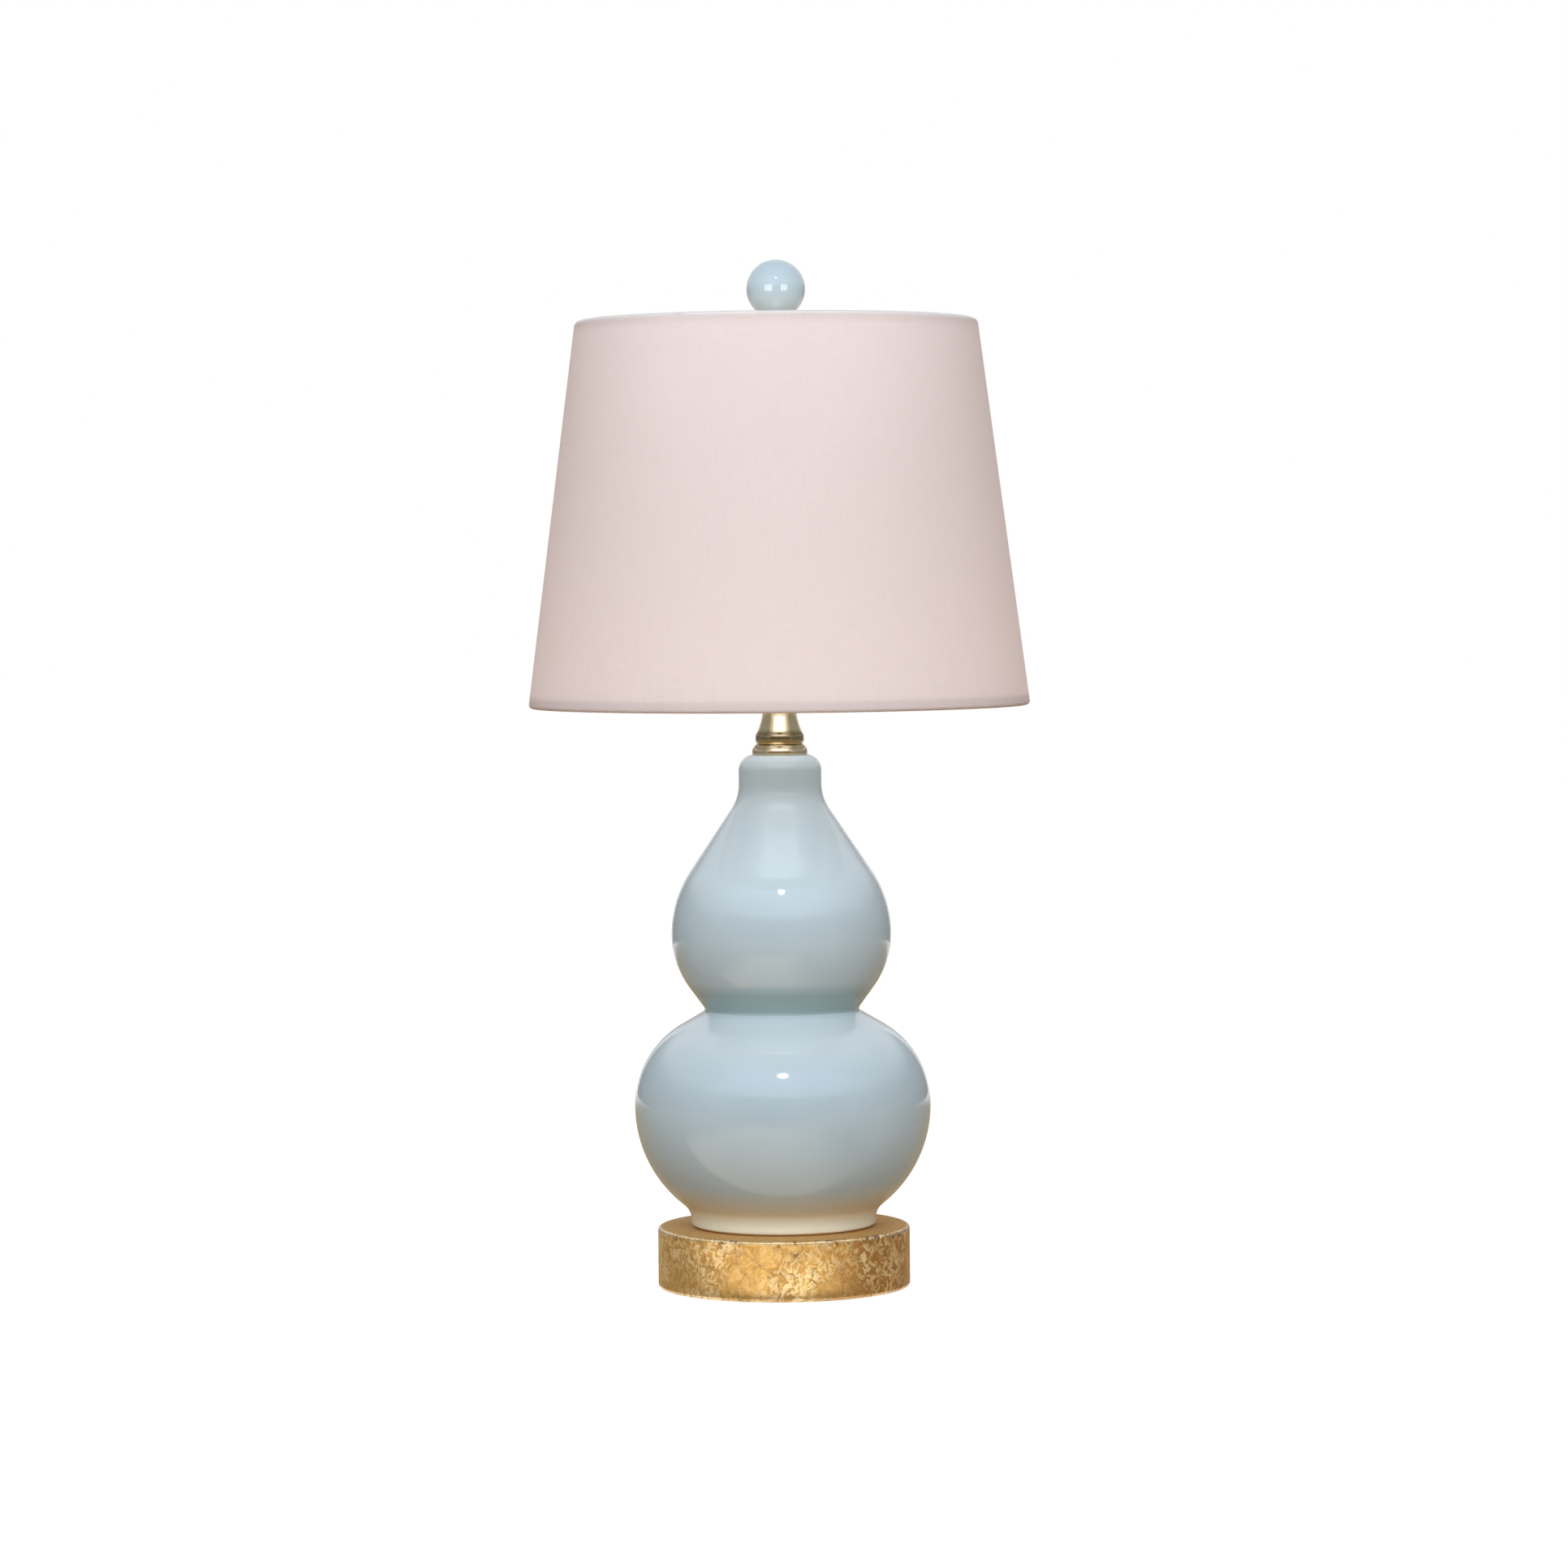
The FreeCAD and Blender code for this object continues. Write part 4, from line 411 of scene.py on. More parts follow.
# Brass polished on the lathe under clear lacquer: pale gold, nearly a mirror, with hairlines that
# run round it about a third of a millimetre apart. Round the bead it is painted dark brown, a painted
# reflection.
brass, place = new_material("polished_brass")
haze = add(brass, "TexNoise", {"Vector": place, "Scale": 1 / 6, "Detail": 3.0})
stretch = add(brass, "Mapping", {"Vector": place, "Scale": (0.04, 0.04, 3.0)})
hairline = add(brass, "TexNoise", {"Vector": stretch, "Scale": 1.0, "Detail": 5.0, "Roughness": 0.7})
brass_colour = add(brass, "Mix", {"Factor": haze.outputs["Fac"], "A": "#dcd3b4", "B": "#ebe4cc"},
                   data_type="RGBA")
bead_mm = (neck_low + bead_level) * 1000
neck_level = add(brass, "SeparateXYZ", {"Vector": place}).outputs["Z"]
from_bead = add(brass, "Math", {0: neck_level, 1: bead_mm}, operation="SUBTRACT")
off_bead = add(brass, "Math", {0: from_bead}, operation="ABSOLUTE")
# Painted reflection: the brass is darkened to brown round the bead.
painted_bead_darkening = add(brass, "MapRange", {"Value": off_bead, "From Min": 4.2, "From Max": 2.2, "To Max": 0.62})
bead_darkened = add(brass, "Mix", {"Factor": painted_bead_darkening, "A": brass_colour, "B": "#6f5a30"}, data_type="RGBA")
hair_bump = add(brass, "Bump", {"Height": hairline.outputs["Fac"], "Strength": 0.12, "Distance": 0.0002})
polish = add(brass, "MapRange", {"Value": haze.outputs["Fac"], "To Min": 0.08, "To Max": 0.18})
turned = add(brass, "BsdfPrincipled", {
    "Base Color": bead_darkened, "Metallic": 1.0, "Roughness": polish, "Normal": hair_bump,
    "Coat Weight": 0.3, "Coat Roughness": 0.06})
add(brass, "OutputMaterial", {"Surface": turned})
fit(vase_cap, brass, "polished_brass", "lamp", "vase_cap")
fit(column, brass, "polished_brass", "lamp", "brass_neck")

# ---------------------------------------------------------------------------------- harp saddle
# Brass strap pressed into a U and clamped under the socket; each end narrows to a tine that a leg
# of the harp stands against. It keeps its CAD shape and takes the column's polish.
paint(brass, "harp_saddle")

# --------------------------------------------------------------------------------------- socket
# Lamp-holder: a drawn cap and shell, a paper liner, a phenolic core with its screw shell, centre
# contact and two terminal screws.

# Drawn brass sheet, brushed and flash-plated: the brush marks run upright round the shell.
drawn, place = new_material("drawn_brass_sheet")
upright = add(drawn, "Mapping", {"Vector": place, "Scale": (2.4, 2.4, 0.06)})
brush = add(drawn, "TexNoise", {"Vector": upright, "Scale": 1.0, "Detail": 5.0, "Roughness": 0.7})
tarnish = add(drawn, "TexNoise", {"Vector": place, "Scale": 1 / 9, "Detail": 4.0})
sheet_brass = add(drawn, "Mix", {"Factor": tarnish.outputs["Fac"], "A": "#c9a765", "B": "#e2c78c"},
                  data_type="RGBA")
brush_bump = add(drawn, "Bump", {"Height": brush.outputs["Fac"], "Strength": 0.25, "Distance": 0.0002})
satin = add(drawn, "MapRange", {"Value": brush.outputs["Fac"], "To Min": 0.22, "To Max": 0.4})
shell = add(drawn, "BsdfPrincipled", {
    "Base Color": sheet_brass, "Metallic": 1.0, "Roughness": satin, "Normal": brush_bump})
add(drawn, "OutputMaterial", {"Surface": shell})
paint(drawn, "socket_cap", "socket_shell", "socket_thread_shell", "socket_contact", "terminal_screws")

# Pressed insulating paper: grey-brown card with short fibres.
fibre_card, place = new_material("pressed_insulating_paper")
shred = add(fibre_card, "TexNoise", {"Vector": place, "Scale": 1.2, "Detail": 6.0, "Roughness": 0.8})
card = add(fibre_card, "Mix", {"Factor": shred.outputs["Fac"], "A": "#6a5c4d", "B": "#a2937f"},
           data_type="RGBA")
card_bump = add(fibre_card, "Bump", {"Height": shred.outputs["Fac"], "Strength": 0.4, "Distance": 0.0001})
paper = add(fibre_card, "BsdfPrincipled", {"Base Color": card, "Roughness": 0.85, "Normal": card_bump})
add(fibre_card, "OutputMaterial", {"Surface": paper})
paint(fibre_card, "socket_liner")

# Compression-moulded phenolic: near black with pale filler flecks and a soft shine.
phenolic, place = new_material("moulded_phenolic")
filler = add(phenolic, "TexVoronoi", {"Vector": place, "Scale": 1.4})
fleck = add(phenolic, "MapRange", {"Value": filler.outputs["Distance"], "From Min": 0.16, "From Max": 0.05,
                                   "To Max": 0.5})
resin = add(phenolic, "Mix", {"Factor": fleck, "A": "#1a1513", "B": "#4d4038"}, data_type="RGBA")
flow = add(phenolic, "TexNoise", {"Vector": place, "Scale": 1 / 4, "Detail": 3.0})
flow_bump = add(phenolic, "Bump", {"Height": flow.outputs["Fac"], "Strength": 0.2, "Distance": 0.0003})
pressed = add(phenolic, "BsdfPrincipled", {
    "Base Color": resin, "Roughness": 0.32, "IOR": 1.6, "Normal": flow_bump})
add(phenolic, "OutputMaterial", {"Surface": pressed})
paint(phenolic, "socket_core")

# --------------------------------------------------------------------------------------- switch
# Turn knob of moulded plastic, fluted for the fingers, pressed on a brass shaft that leaves the
# socket's shell through a port.

# Moulded brown-black plastic: even colour, soft gloss, with a fine spark-eroded grain.
knob_plastic, place = new_material("moulded_knob_plastic")
spark = add(knob_plastic, "TexNoise", {"Vector": place, "Scale": 4.0, "Detail": 3.0})
hue = add(knob_plastic, "TexNoise", {"Vector": place, "Scale": 1 / 4, "Detail": 2.0})
brown = add(knob_plastic, "Mix", {"Factor": hue.outputs["Fac"], "A": "#201914", "B": "#30271f"},
            data_type="RGBA")
spark_bump = add(knob_plastic, "Bump", {"Height": spark.outputs["Fac"], "Strength": 0.25,
                                        "Distance": 0.0001})
cast = add(knob_plastic, "BsdfPrincipled", {
    "Base Color": brown, "Roughness": 0.38, "IOR": 1.49, "Normal": spark_bump})
add(knob_plastic, "OutputMaterial", {"Surface": cast})
paint(knob_plastic, "switch_knob")
paint(drawn, "switch_shaft")

# ----------------------------------------------------------------------------------------- bulb
# Screw-in bulb: an inside-frosted envelope on an aluminium screw cap, with a black glass insulator,
# a soldered centre contact, and the stem and filament inside.

# Frosted glass: milky, with a soft sheen, and a fine etched grain on its inner face.
frosted, place = new_material("frosted_glass")
etch = add(frosted, "TexNoise", {"Vector": place, "Scale": 2.5, "Detail": 4.0})
milk = add(frosted, "TexNoise", {"Vector": place, "Scale": 1 / 18, "Detail": 2.0})
white = add(frosted, "Mix", {"Factor": milk.outputs["Fac"], "A": "#f2efe8", "B": "#fbf9f4"},
            data_type="RGBA")
etch_bump = add(frosted, "Bump", {"Height": etch.outputs["Fac"], "Strength": 0.12, "Distance": 0.0001})
envelope = add(frosted, "BsdfPrincipled", {
    "Base Color": white, "Roughness": 0.28, "IOR": 1.5, "Transmission Weight": 0.35,
    "Normal": etch_bump})
add(frosted, "OutputMaterial", {"Surface": envelope})
paint(frosted, "bulb_glass")

# Rolled aluminium cap, bright but scuffed from being screwed in.
alloy, place = new_material("rolled_aluminium")
scuff = add(alloy, "TexNoise", {"Vector": place, "Scale": 1.2, "Detail": 5.0, "Roughness": 0.7})
alloy_colour = add(alloy, "Mix", {"Factor": scuff.outputs["Fac"], "A": "#b4b4b0", "B": "#dcdad5"},
                   data_type="RGBA")
alloy_rough = add(alloy, "MapRange", {"Value": scuff.outputs["Fac"], "To Min": 0.22, "To Max": 0.42})
rolled_cap = add(alloy, "BsdfPrincipled", {
    "Base Color": alloy_colour, "Metallic": 1.0, "Roughness": alloy_rough})
add(alloy, "OutputMaterial", {"Surface": rolled_cap})
paint(alloy, "bulb_cap", "bulb_contact")

# Black glass cement of the insulator: glossy, with a few bubbles.
vitrite, place = new_material("black_glass_insulator")
bubble = add(vitrite, "TexVoronoi", {"Vector": place, "Scale": 0.9})
bubble_tone = add(vitrite, "Mix", {"Factor": bubble.outputs["Distance"], "A": "#1c1b22", "B": "#0b0a0d"},
                  data_type="RGBA")
bubble_bump = add(vitrite, "Bump", {"Height": bubble.outputs["Distance"], "Strength": 0.2,
                                    "Distance": 0.0002})
cement = add(vitrite, "BsdfPrincipled", {
    "Base Color": bubble_tone, "Roughness": 0.12, "IOR": 1.6, "Normal": bubble_bump})
add(vitrite, "OutputMaterial", {"Surface": cement})
paint(vitrite, "bulb_insulator")

# Clear lead glass of the stem, with the drawn streaks of hot-worked glass.
stem_glass, place = new_material("drawn_clear_glass")
streak_place = add(stem_glass, "Mapping", {"Vector": place, "Scale": (0.8, 0.8, 0.05)})
streak = add(stem_glass, "TexNoise", {"Vector": streak_place, "Scale": 1.0, "Detail": 2.0})
streak_bump = add(stem_glass, "Bump", {"Height": streak.outputs["Fac"], "Strength": 0.3,
                                       "Distance": 0.0002})
drawn_glass = add(stem_glass, "BsdfPrincipled", {
    "Base Color": "#eef3f1", "Roughness": 0.03, "IOR": 1.56, "Transmission Weight": 0.95,
    "Normal": streak_bump})
add(stem_glass, "OutputMaterial", {"Surface": drawn_glass})
paint(stem_glass, "bulb_stem")

# Coiled tungsten, seen as a dark wire; the fine bands of its turns are painted light and shade.
tungsten, place = new_material("coiled_tungsten")
coil = add(tungsten, "TexWave", {"Vector": place, "Scale": 1.0, "Distortion": 0.4},
           wave_type="BANDS", bands_direction="X")
coil_band_shade = add(tungsten, "Mix", {"Factor": coil.outputs["Fac"], "A": "#4a4a4e", "B": "#909095"},
                data_type="RGBA")
wire_metal = add(tungsten, "BsdfPrincipled", {"Base Color": coil_band_shade, "Metallic": 1.0, "Roughness": 0.4})
add(tungsten, "OutputMaterial", {"Surface": wire_metal})
paint(tungsten, "bulb_filament")

# ----------------------------------------------------------------------------------------- harp
# One brass-plated spring wire from tine to tine with a flattened eye at its crown, the threaded
# stud that stands in the eye, and the two sleeves that lock the legs on the saddle.
paint(brass, "harp_loop", "harp_stud", "harp_sleeve_left", "harp_sleeve_right")

# -------------------------------------------------------------------------------- spider fitter
# White-coated steel wire: three spokes welded to a washer that drops over the stud, the top ring
# they carry, and the loose ring in the shade's lower hem.

# Powder coat on wire: off-white, satin, with the slight orange peel of a baked coat.
coat, place = new_material("white_powder_coat")
peel = add(coat, "TexNoise", {"Vector": place, "Scale": 1.1, "Detail": 2.0})
dust = add(coat, "TexNoise", {"Vector": place, "Scale": 1 / 12, "Detail": 3.0})
off_white = add(coat, "Mix", {"Factor": dust.outputs["Fac"], "A": "#ddd9d0", "B": "#eeebe4"},
                data_type="RGBA")
peel_bump = add(coat, "Bump", {"Height": peel.outputs["Fac"], "Strength": 0.3, "Distance": 0.0001})
baked = add(coat, "BsdfPrincipled", {
    "Base Color": off_white, "Roughness": 0.42, "IOR": 1.5, "Normal": peel_bump})
add(coat, "OutputMaterial", {"Surface": baked})
paint(coat, "spider_fitter", "shade_low_ring")

# ---------------------------------------------------------------------------------------- shade
# Empire shade: linen laminated to white styrene and cut as one flat arc, rolled to a cone, lapped
# and glued at the back. Its edges are turned in over the two rings and glued down inside.
shade_low, shade_top = 0.1270, 0.1016
shade_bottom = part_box("shade_low_hem")[0].z
shade_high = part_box("shade_top_hem")[1].z - shade_bottom
hem_radius, hem_turned_in, hem_rest = 0.0018, 0.0032, 0.0011
top_roll, roll_start = 0.0034, 6
lap_width, lap_lift, lap_reach, lap_slope = 0.0110, 0.0007, 1.6, 3.0
columns, edge_steps, wall_rows = 300, 10, 24
spoke_count, notch_half = 3, 0.0024
lean = math.atan2(shade_low - shade_top, shade_high)
outward = Vector((math.cos(lean), math.sin(lean)))
upward = Vector((-math.sin(lean), math.cos(lean)))
across = hem_radius / math.cos(lean)
low_ring = Vector((shade_low - math.tan(lean) * hem_radius - across, shade_bottom + hem_radius))
top_ring = Vector((shade_top + math.tan(lean) * hem_radius - across,
                   shade_bottom + shade_high - hem_radius))


def rolled_edge(ring, away, steps):
    """Half turn of the cloth round a ring, from its outer face to its inner one, and the turned-in end."""
    turn = [ring + outward * (hem_radius * math.cos(a)) - upward * (away * hem_radius * math.sin(a))
            for a in (math.pi * k / steps for k in range(steps + 1))]
    inner = ring + outward * (hem_radius - hem_rest)
    landing = [inner + upward * (away * hem_turned_in * part) for part in (0.5, 1.0)]
    return turn + landing


low_edge = rolled_edge(low_ring, 1, edge_steps)
roll = top_ring - (outward + upward) * (top_roll - hem_radius)
shoulder = [roll + outward * (top_roll * math.cos(a)) + upward * (top_roll * math.sin(a))
            for a in (math.pi / 2 * k / edge_steps for k in range(edge_steps))]
top_edge = shoulder + rolled_edge(top_ring, -1, edge_steps)[roll_start:]
flank = [low_edge[0].lerp(top_edge[0], k / wall_rows) for k in range(1, wall_rows)]
section = low_edge[::-1] + flank + top_edge
top_start = len(section) - len(top_edge)
along = [0.0]
for before, after in zip(section, section[1:]):
    along.append(along[-1] + (after - before).length)
wall_start = len(low_edge) - 1
sector_radius = low_edge[0].x / math.sin(lean)

shade_points = []
shade_flat = []
for k in range(columns + 1):
    lap_angle = lap_width / shade_low
    part = k / columns
    turn = math.pi / 2 - lap_angle / 2 + part * (math.tau + lap_angle)
    lapped = max(0.0, 1.0 - (1.0 - part) * (math.tau + lap_angle) / (lap_reach * lap_angle))
    lift = outward * (lap_lift * min(1.0, lap_slope * lapped))
    for row, spot in enumerate(section):
        lifted = spot + lift if wall_start <= row <= top_start else spot
        shade_points.append((lifted.x * math.cos(turn), lifted.x * math.sin(turn), lifted.y))
        ray = sector_radius - (along[row] - along[wall_start])
        slant_turn = (turn - 3 * math.pi / 2) * math.sin(lean)
        shade_flat.append((ray * math.sin(slant_turn), ray * math.cos(slant_turn)))
shade_faces = []
for k in range(columns):
    turn = math.pi / 2 + (k + 0.5) / columns * math.tau
    spoke_turn = math.remainder(turn, math.tau / spoke_count)
    notched = abs(spoke_turn) * top_ring.x < notch_half
    for row in range(len(section) - 1):
        if notched and row > top_start + edge_steps:
            continue
        near, far = k * len(section) + row, (k + 1) * len(section) + row
        shade_faces.append((near, far, far + 1, near + 1))
shade_mesh = bpy.data.meshes.new("shade_cloth")
shade_mesh.from_pydata(shade_points, [], shade_faces)
shade_mesh.shade_smooth()
flat_map = shade_mesh.uv_layers.new(name="flat_cut")
for loop in shade_mesh.loops:
    flat_map.data[loop.index].uv = shade_flat[loop.vertex_index]
shade = bpy.data.objects.new("shade_cloth", shade_mesh)
bpy.context.scene.collection.objects.link(shade)

# Woven linen on white styrene: matt ivory with a pink cast, fine slubbed threads, and a soft glow
# where light comes through. Slubs are drawn 4 to 12 mm long.
thread_apart = 0.7
linen, place = new_material("linen_on_styrene")
cut_place = add(linen, "Mapping", {"Vector": add(linen, "UVMap", uv_map="flat_cut"),
                                   "Scale": (1000.0, 1000.0, 1000.0)})
warp, weft = (
    add(linen, "TexWave", {"Vector": cut_place, "Scale": math.tau / 20 / thread_apart, "Distortion": 1.2,
                           "Detail": 2.0, "Detail Scale": 1.5}, bands_direction=way)
    for way in ("X", "Y"))
weft_slub, warp_slub = (
    add(linen, "TexNoise", {"Vector": add(linen, "Mapping", {"Vector": cut_place, "Scale": drawn_out}),
                            "Scale": 1.0, "Detail": 4.0, "Roughness": 0.65})
    for drawn_out in ((0.09, 0.8, 1.0), (0.8, 0.06, 1.0)))
weave = add(linen, "Math", {0: warp.outputs["Fac"], 1: weft.outputs["Fac"]}, operation="ADD")
slub = add(linen, "Math", {0: weft_slub.outputs["Fac"], 1: warp_slub.outputs["Fac"]}, operation="ADD")
thread = add(linen, "Math", {0: slub, 1: 2.0, 2: weave}, operation="MULTIPLY_ADD")
thread_tone = add(linen, "MapRange", {"Value": thread, "From Min": 1.6, "From Max": 4.4})
linen_face = add(linen, "Mix", {"Factor": thread_tone, "A": "#e5dad8", "B": "#ede4e1"}, data_type="RGBA")
thread_bump = add(linen, "Bump", {"Height": thread, "Strength": 0.25, "Distance": 0.0002})
inside = add(linen, "NewGeometry").outputs["Backfacing"]
face = add(linen, "Mix", {"Factor": inside, "A": linen_face, "B": "#f3efe9"}, data_type="RGBA")
woven = add(linen, "BsdfPrincipled", {
    "Base Color": face, "Roughness": 0.85, "Sheen Weight": 0.1, "Sheen Roughness": 0.6,
    "Normal": thread_bump})
glow_tone = add(linen, "Mix", {"Factor": thread_tone, "A": "#ecd3c6", "B": "#f6e3d9"}, data_type="RGBA")
glow = add(linen, "BsdfTranslucent", {"Color": glow_tone})
laminate = add(linen, "MixShader", {0: 0.24, 1: woven, 2: glow})
add(linen, "OutputMaterial", {"Surface": laminate})
fit(shade, linen, "linen", "shade", "shade_linen", "shade_backing", "shade_low_hem", "shade_top_hem")

# --------------------------------------------------------------------------------------- finial
# Turned brass foot, tapped for the stud, with a glazed ceramic ball cemented on its spigot. It
# screws down on the shade's washer, and its ball matches the gourd.
paint(brass, "finial_base")
ball_radius, seat_radius, ball_hole, ball_hole_deep, pole = 0.0148, 0.0066, 0.00305, 0.0110, 0.0001
ball_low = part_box("finial_ball")[0].z
ball_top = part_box("finial_ball")[1].z - ball_low
ball_outline = (
    [(ball_hole, 0.0)]
    + bow((seat_radius, 0.0), (ball_radius, ball_top - ball_radius), ball_radius, 1, 24)
    + bow((ball_radius, ball_top - ball_radius), (pole, ball_top), ball_radius, 1, 40)
    + [(pole, ball_hole_deep), (ball_hole, ball_hole_deep)]
)
ball = lathe("celadon_ball", ball_outline, 96, ball_low)
fit(ball, celadon, "celadon_glaze", "finial", "finial_ball")

# --------------------------------------------------------------------------------------- studio
# Plain white floor and backdrop, broad lamps in front and behind, a small round one high in front, two
# discs that lift the inside and underside of the shade, and soft-edged panels that only reflections see.


def shown_rays(material):
    """1 for what the camera, reflections and glass see, and 0 for rays that only carry light."""
    ray = add(material, "LightPath")
    seen = add(material, "Math", {0: ray.outputs["Is Camera Ray"], 1: ray.outputs["Is Glossy Ray"]},
               operation="MAXIMUM")
    return add(material, "Math", {0: seen, 1: ray.outputs["Is Transmission Ray"]}, operation="MAXIMUM")


white_world = bpy.data.worlds.new("white_backdrop")
white_world.use_nodes = True
white_world.node_tree.nodes.clear()
shown = shown_rays(white_world)
overhead = add(white_world, "SeparateXYZ", {"Vector": add(white_world, "TexCoord").outputs["Generated"]})
sky_level = add(white_world, "MapRange", {"Value": overhead.outputs["Z"], "To Min": 0.84, "To Max": 0.38})
soft_sky = add(white_world, "Background", {"Color": "#edf3ff", "Strength": sky_level})
backdrop = add(white_world, "Background", {"Color": "#ffffff", "Strength": 1.0})
sky = add(white_world, "MixShader", {0: shown, 1: soft_sky, 2: backdrop})
add(white_world, "OutputWorld", {"Surface": sky})
bpy.context.scene.world = white_world

floor_half = 15.0
floor_mesh = bpy.data.meshes.new("floor")
floor_mesh.from_pydata([(-floor_half, -floor_half, 0), (floor_half, -floor_half, 0),
                        (floor_half, floor_half, 0), (-floor_half, floor_half, 0)], [], [(0, 1, 2, 3)])
floor = bpy.data.objects.new("floor", floor_mesh)
bpy.context.scene.collection.objects.link(floor)
ground = new_material("white_floor")[0]
shown = shown_rays(ground)
bounce = add(ground, "Mix", {"Factor": shown, "A": "#a5845f", "B": "#938c84"}, data_type="RGBA")
matt = add(ground, "BsdfDiffuse", {"Color": bounce})
lift_strength = add(ground, "Math", {0: shown, 1: 0.88}, operation="MULTIPLY")
whitened = add(ground, "Emission", {"Color": "#ffffff", "Strength": lift_strength})
add(ground, "OutputMaterial", {"Surface": add(ground, "AddShader", {0: matt, 1: whitened})})
floor_mesh.materials.append(ground)


def lamp(name, shape, width, watts, place, aim, tint="#ffffff"):
    """Area lamp that points at a spot."""
    light = bpy.data.lights.new(name, "AREA")
    light.shape = shape
    light.size = width
    light.energy = watts
    light.color = to_linear(tint)[:3]
    made = bpy.data.objects.new(name, light)
    made.location = place
    made.rotation_euler = (Vector(aim) - Vector(place)).to_track_quat("-Z", "Y").to_euler()
    made.visible_camera = False
    bpy.context.scene.collection.objects.link(made)
    return made


for soft_lamp in (
        lamp("broad_front_lamp", "SQUARE", 1.3, 34.0, (-0.08, -2.2, 1.4), (0.0, 0.0, 0.25), "#f2f6ff"),
        lamp("broad_back_lamp", "SQUARE", 1.3, 18.0, (0.3, 2.2, 1.6), (0.0, 0.0, 0.25)),
        lamp("inside_shade_lamp", "DISK", 0.2, 0.12, (0.0, 0.0, 0.272), (0.0, 0.0, 1.0), "#ffe6d2"),
        lamp("under_shade_lamp", "DISK", 0.16, 0.055, (0.0, 0.0, 0.294), (0.0, 0.0, 0.0), "#e2ebff")):
    soft_lamp.visible_glossy = False
lamp("round_front_lamp", "DISK", 0.32, 4.0, (0.02, -1.85, 2.15), (0.0, 0.0, 0.2))


def panel(name, tone, strength, fades, surface, steps):
    """Panel laid on surface(u, v) that only reflections see; its two sides and its far edge fade out."""
    grid = [(a / steps, b) for b in (0.0, 1.0) for a in range(steps + 1)]
    mesh = bpy.data.meshes.new(name)
    mesh.from_pydata([surface(u, v) for u, v in grid], [],
                     [(a, a + 1, a + steps + 2, a + steps + 1) for a in range(steps)])
    spread = mesh.uv_layers.new(name="spread")
    for loop in mesh.loops:
        spread.data[loop.index].uv = grid[loop.vertex_index]
    cloth = new_material(name)[0]
    at = add(cloth, "SeparateXYZ", {"Vector": add(cloth, "UVMap", uv_map="spread")})
    sides = add(cloth, "Math", {0: at.outputs["X"], 1: 0.5}, operation="PINGPONG")
    side_fade = add(cloth, "MapRange", {"Value": sides, "From Max": fades[0]},
                    interpolation_type="SMOOTHSTEP")
    near_fade = add(cloth, "MapRange", {"Value": at.outputs["Y"], "From Max": fades[1]},
                    interpolation_type="SMOOTHSTEP")
    far_fade = add(cloth, "MapRange", {"Value": at.outputs["Y"], "From Min": 1.0, "From Max": 1.0 - fades[2]},
                   interpolation_type="SMOOTHSTEP")
    ends = add(cloth, "Math", {0: near_fade, 1: far_fade}, operation="MULTIPLY")
    fade = add(cloth, "Math", {0: side_fade, 1: ends}, operation="MULTIPLY")
    clear = add(cloth, "BsdfTransparent")
    face = add(cloth, "Emission", {"Color": tone, "Strength": strength})
    add(cloth, "OutputMaterial", {"Surface": add(cloth, "MixShader", {0: fade, 1: clear, 2: face})})
    mesh.materials.append(cloth)
    made = bpy.data.objects.new(name, mesh)
    made.visible_camera = False
    made.visible_diffuse = False
    made.visible_transmission = False
    made.visible_shadow = False
    bpy.context.scene.collection.objects.link(made)


def wall(out, low, high, first, last):
    """Upright wall curved round the lamp, between two angles in degrees; 0 is in front and right is plus."""
    def surface(u, v):
        turn = math.radians(first + (last - first) * u)
        return out * math.sin(turn), -out * math.cos(turn), low + (high - low) * v
    return surface


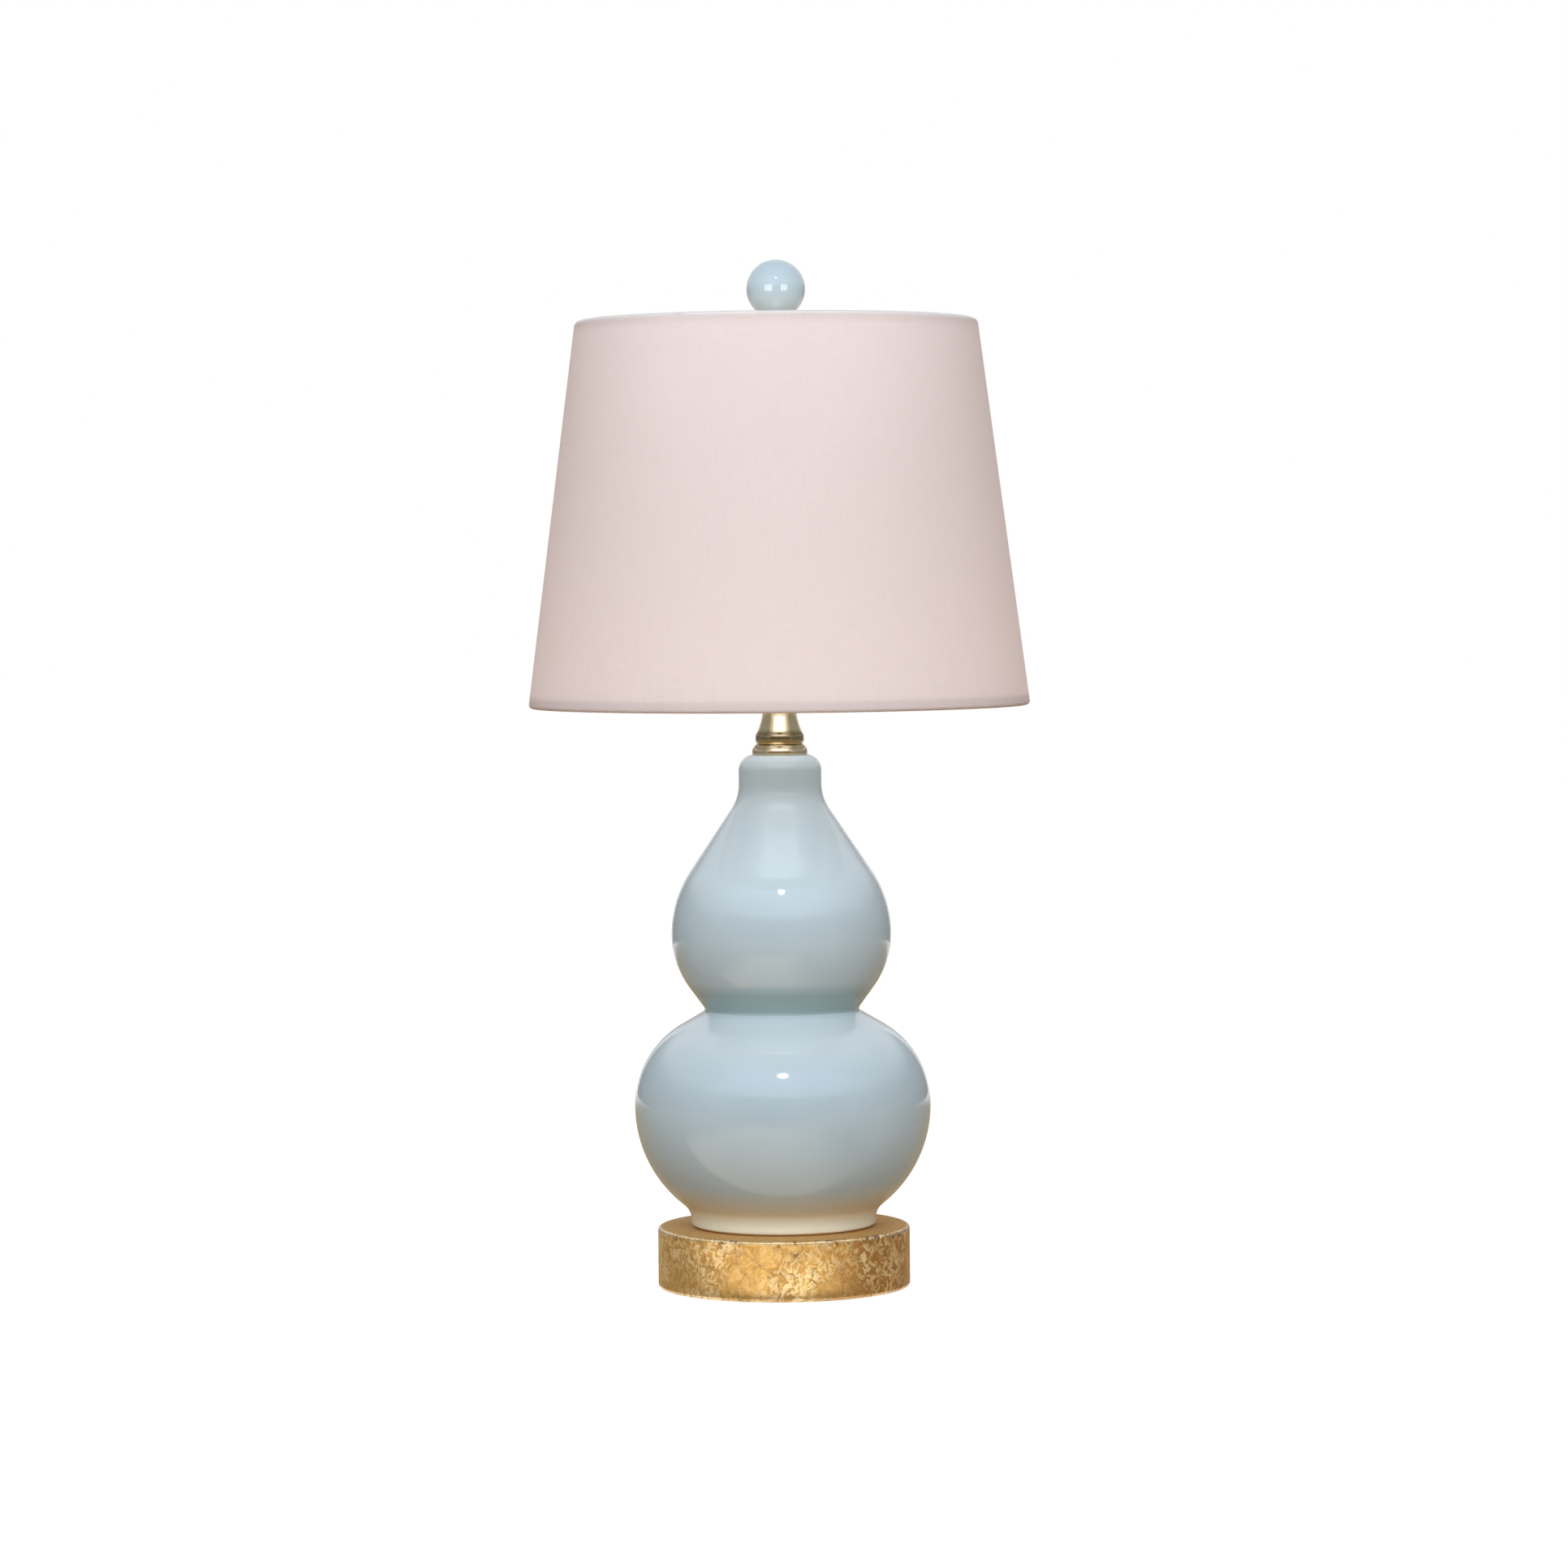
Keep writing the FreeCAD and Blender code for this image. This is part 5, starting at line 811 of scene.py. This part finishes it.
# Grey flags at the sides and a brown one in front, under a broad pale reflector, shade the glaze's flanks.
for name, first, last in (("left_flag", -40, -200), ("right_flag", 40, 200)):
    panel(name, "#8d8a84", 1.0, (0.15, 0.01, 0.5), wall(1.6, 0.01, 0.95, first, last), 24)
panel("front_flag", "#80735f", 1.0, (0.15, 0.01, 0.2), wall(2.5, 0.01, 1.15, -64, 64), 24)
panel("front_reflector", "#d3e1ff", 2.1, (0.25, 0.12, 0.3), wall(2.6, 0.95, 4.2, -80, 80), 24)

# A tan mat on the floor warms the underside of the gourd, and a bright card on it lights the gilding.
panel("table_mat", "#b8a27c", 1.0, (0.2, 0.2, 0.2),
      lambda u, v: (4.0 * (u - 0.5), 1.4 - 3.8 * v, 0.002), 1)
panel("front_card", "#ffebc8", 1.75, (0.35, 0.01, 0.4),
      lambda u, v: (0.5 * u - 0.33, -0.066 - 0.5 * v, 0.003), 1)

# Under the shade, a pale card in front and a grey one behind give the neck its bright middle.
panel("neck_reflector", "#fffdf6", 2.2, (0.25, 0.05, 0.2), wall(0.104, 0.316, 0.385, -46, 46), 12)
panel("neck_flag", "#98958a", 1.0, (0.06, 0.05, 0.2), wall(0.1, 0.298, 0.44, 48, 312), 24)

# Two small windows at the height of the ball, for its pair of highlights.
for name, first, last in (("left_window", -46, -10), ("right_window", 16, 46)):
    panel(name, "#f4f8ff", 7.5, (0.15, 0.1, 0.1), wall(0.17, 0.472, 0.552, first, last), 6)

# --------------------------------------------------------------------------------------- camera
# The photograph was taken from about two and a half metres, a little above the waist of the lamp,
# with a long lens, and leans a fraction of a degree.
eye = Vector((0.0, -2.55, 0.366))
target = Vector((0.002, 0.0, 0.2555))
camera = bpy.data.objects.new("camera", bpy.data.cameras.new("camera"))
camera.data.sensor_width = 36.0
camera.data.lens = 115.6
level_view = (target - eye).to_track_quat("-Z", "Y").to_matrix()
camera.matrix_world = (level_view @ Matrix.Rotation(math.radians(-0.5), 3, "Z")).to_4x4()
camera.location = eye
bpy.context.scene.collection.objects.link(camera)
bpy.context.scene.camera = camera
bpy.context.scene.view_settings.view_transform = "Standard"
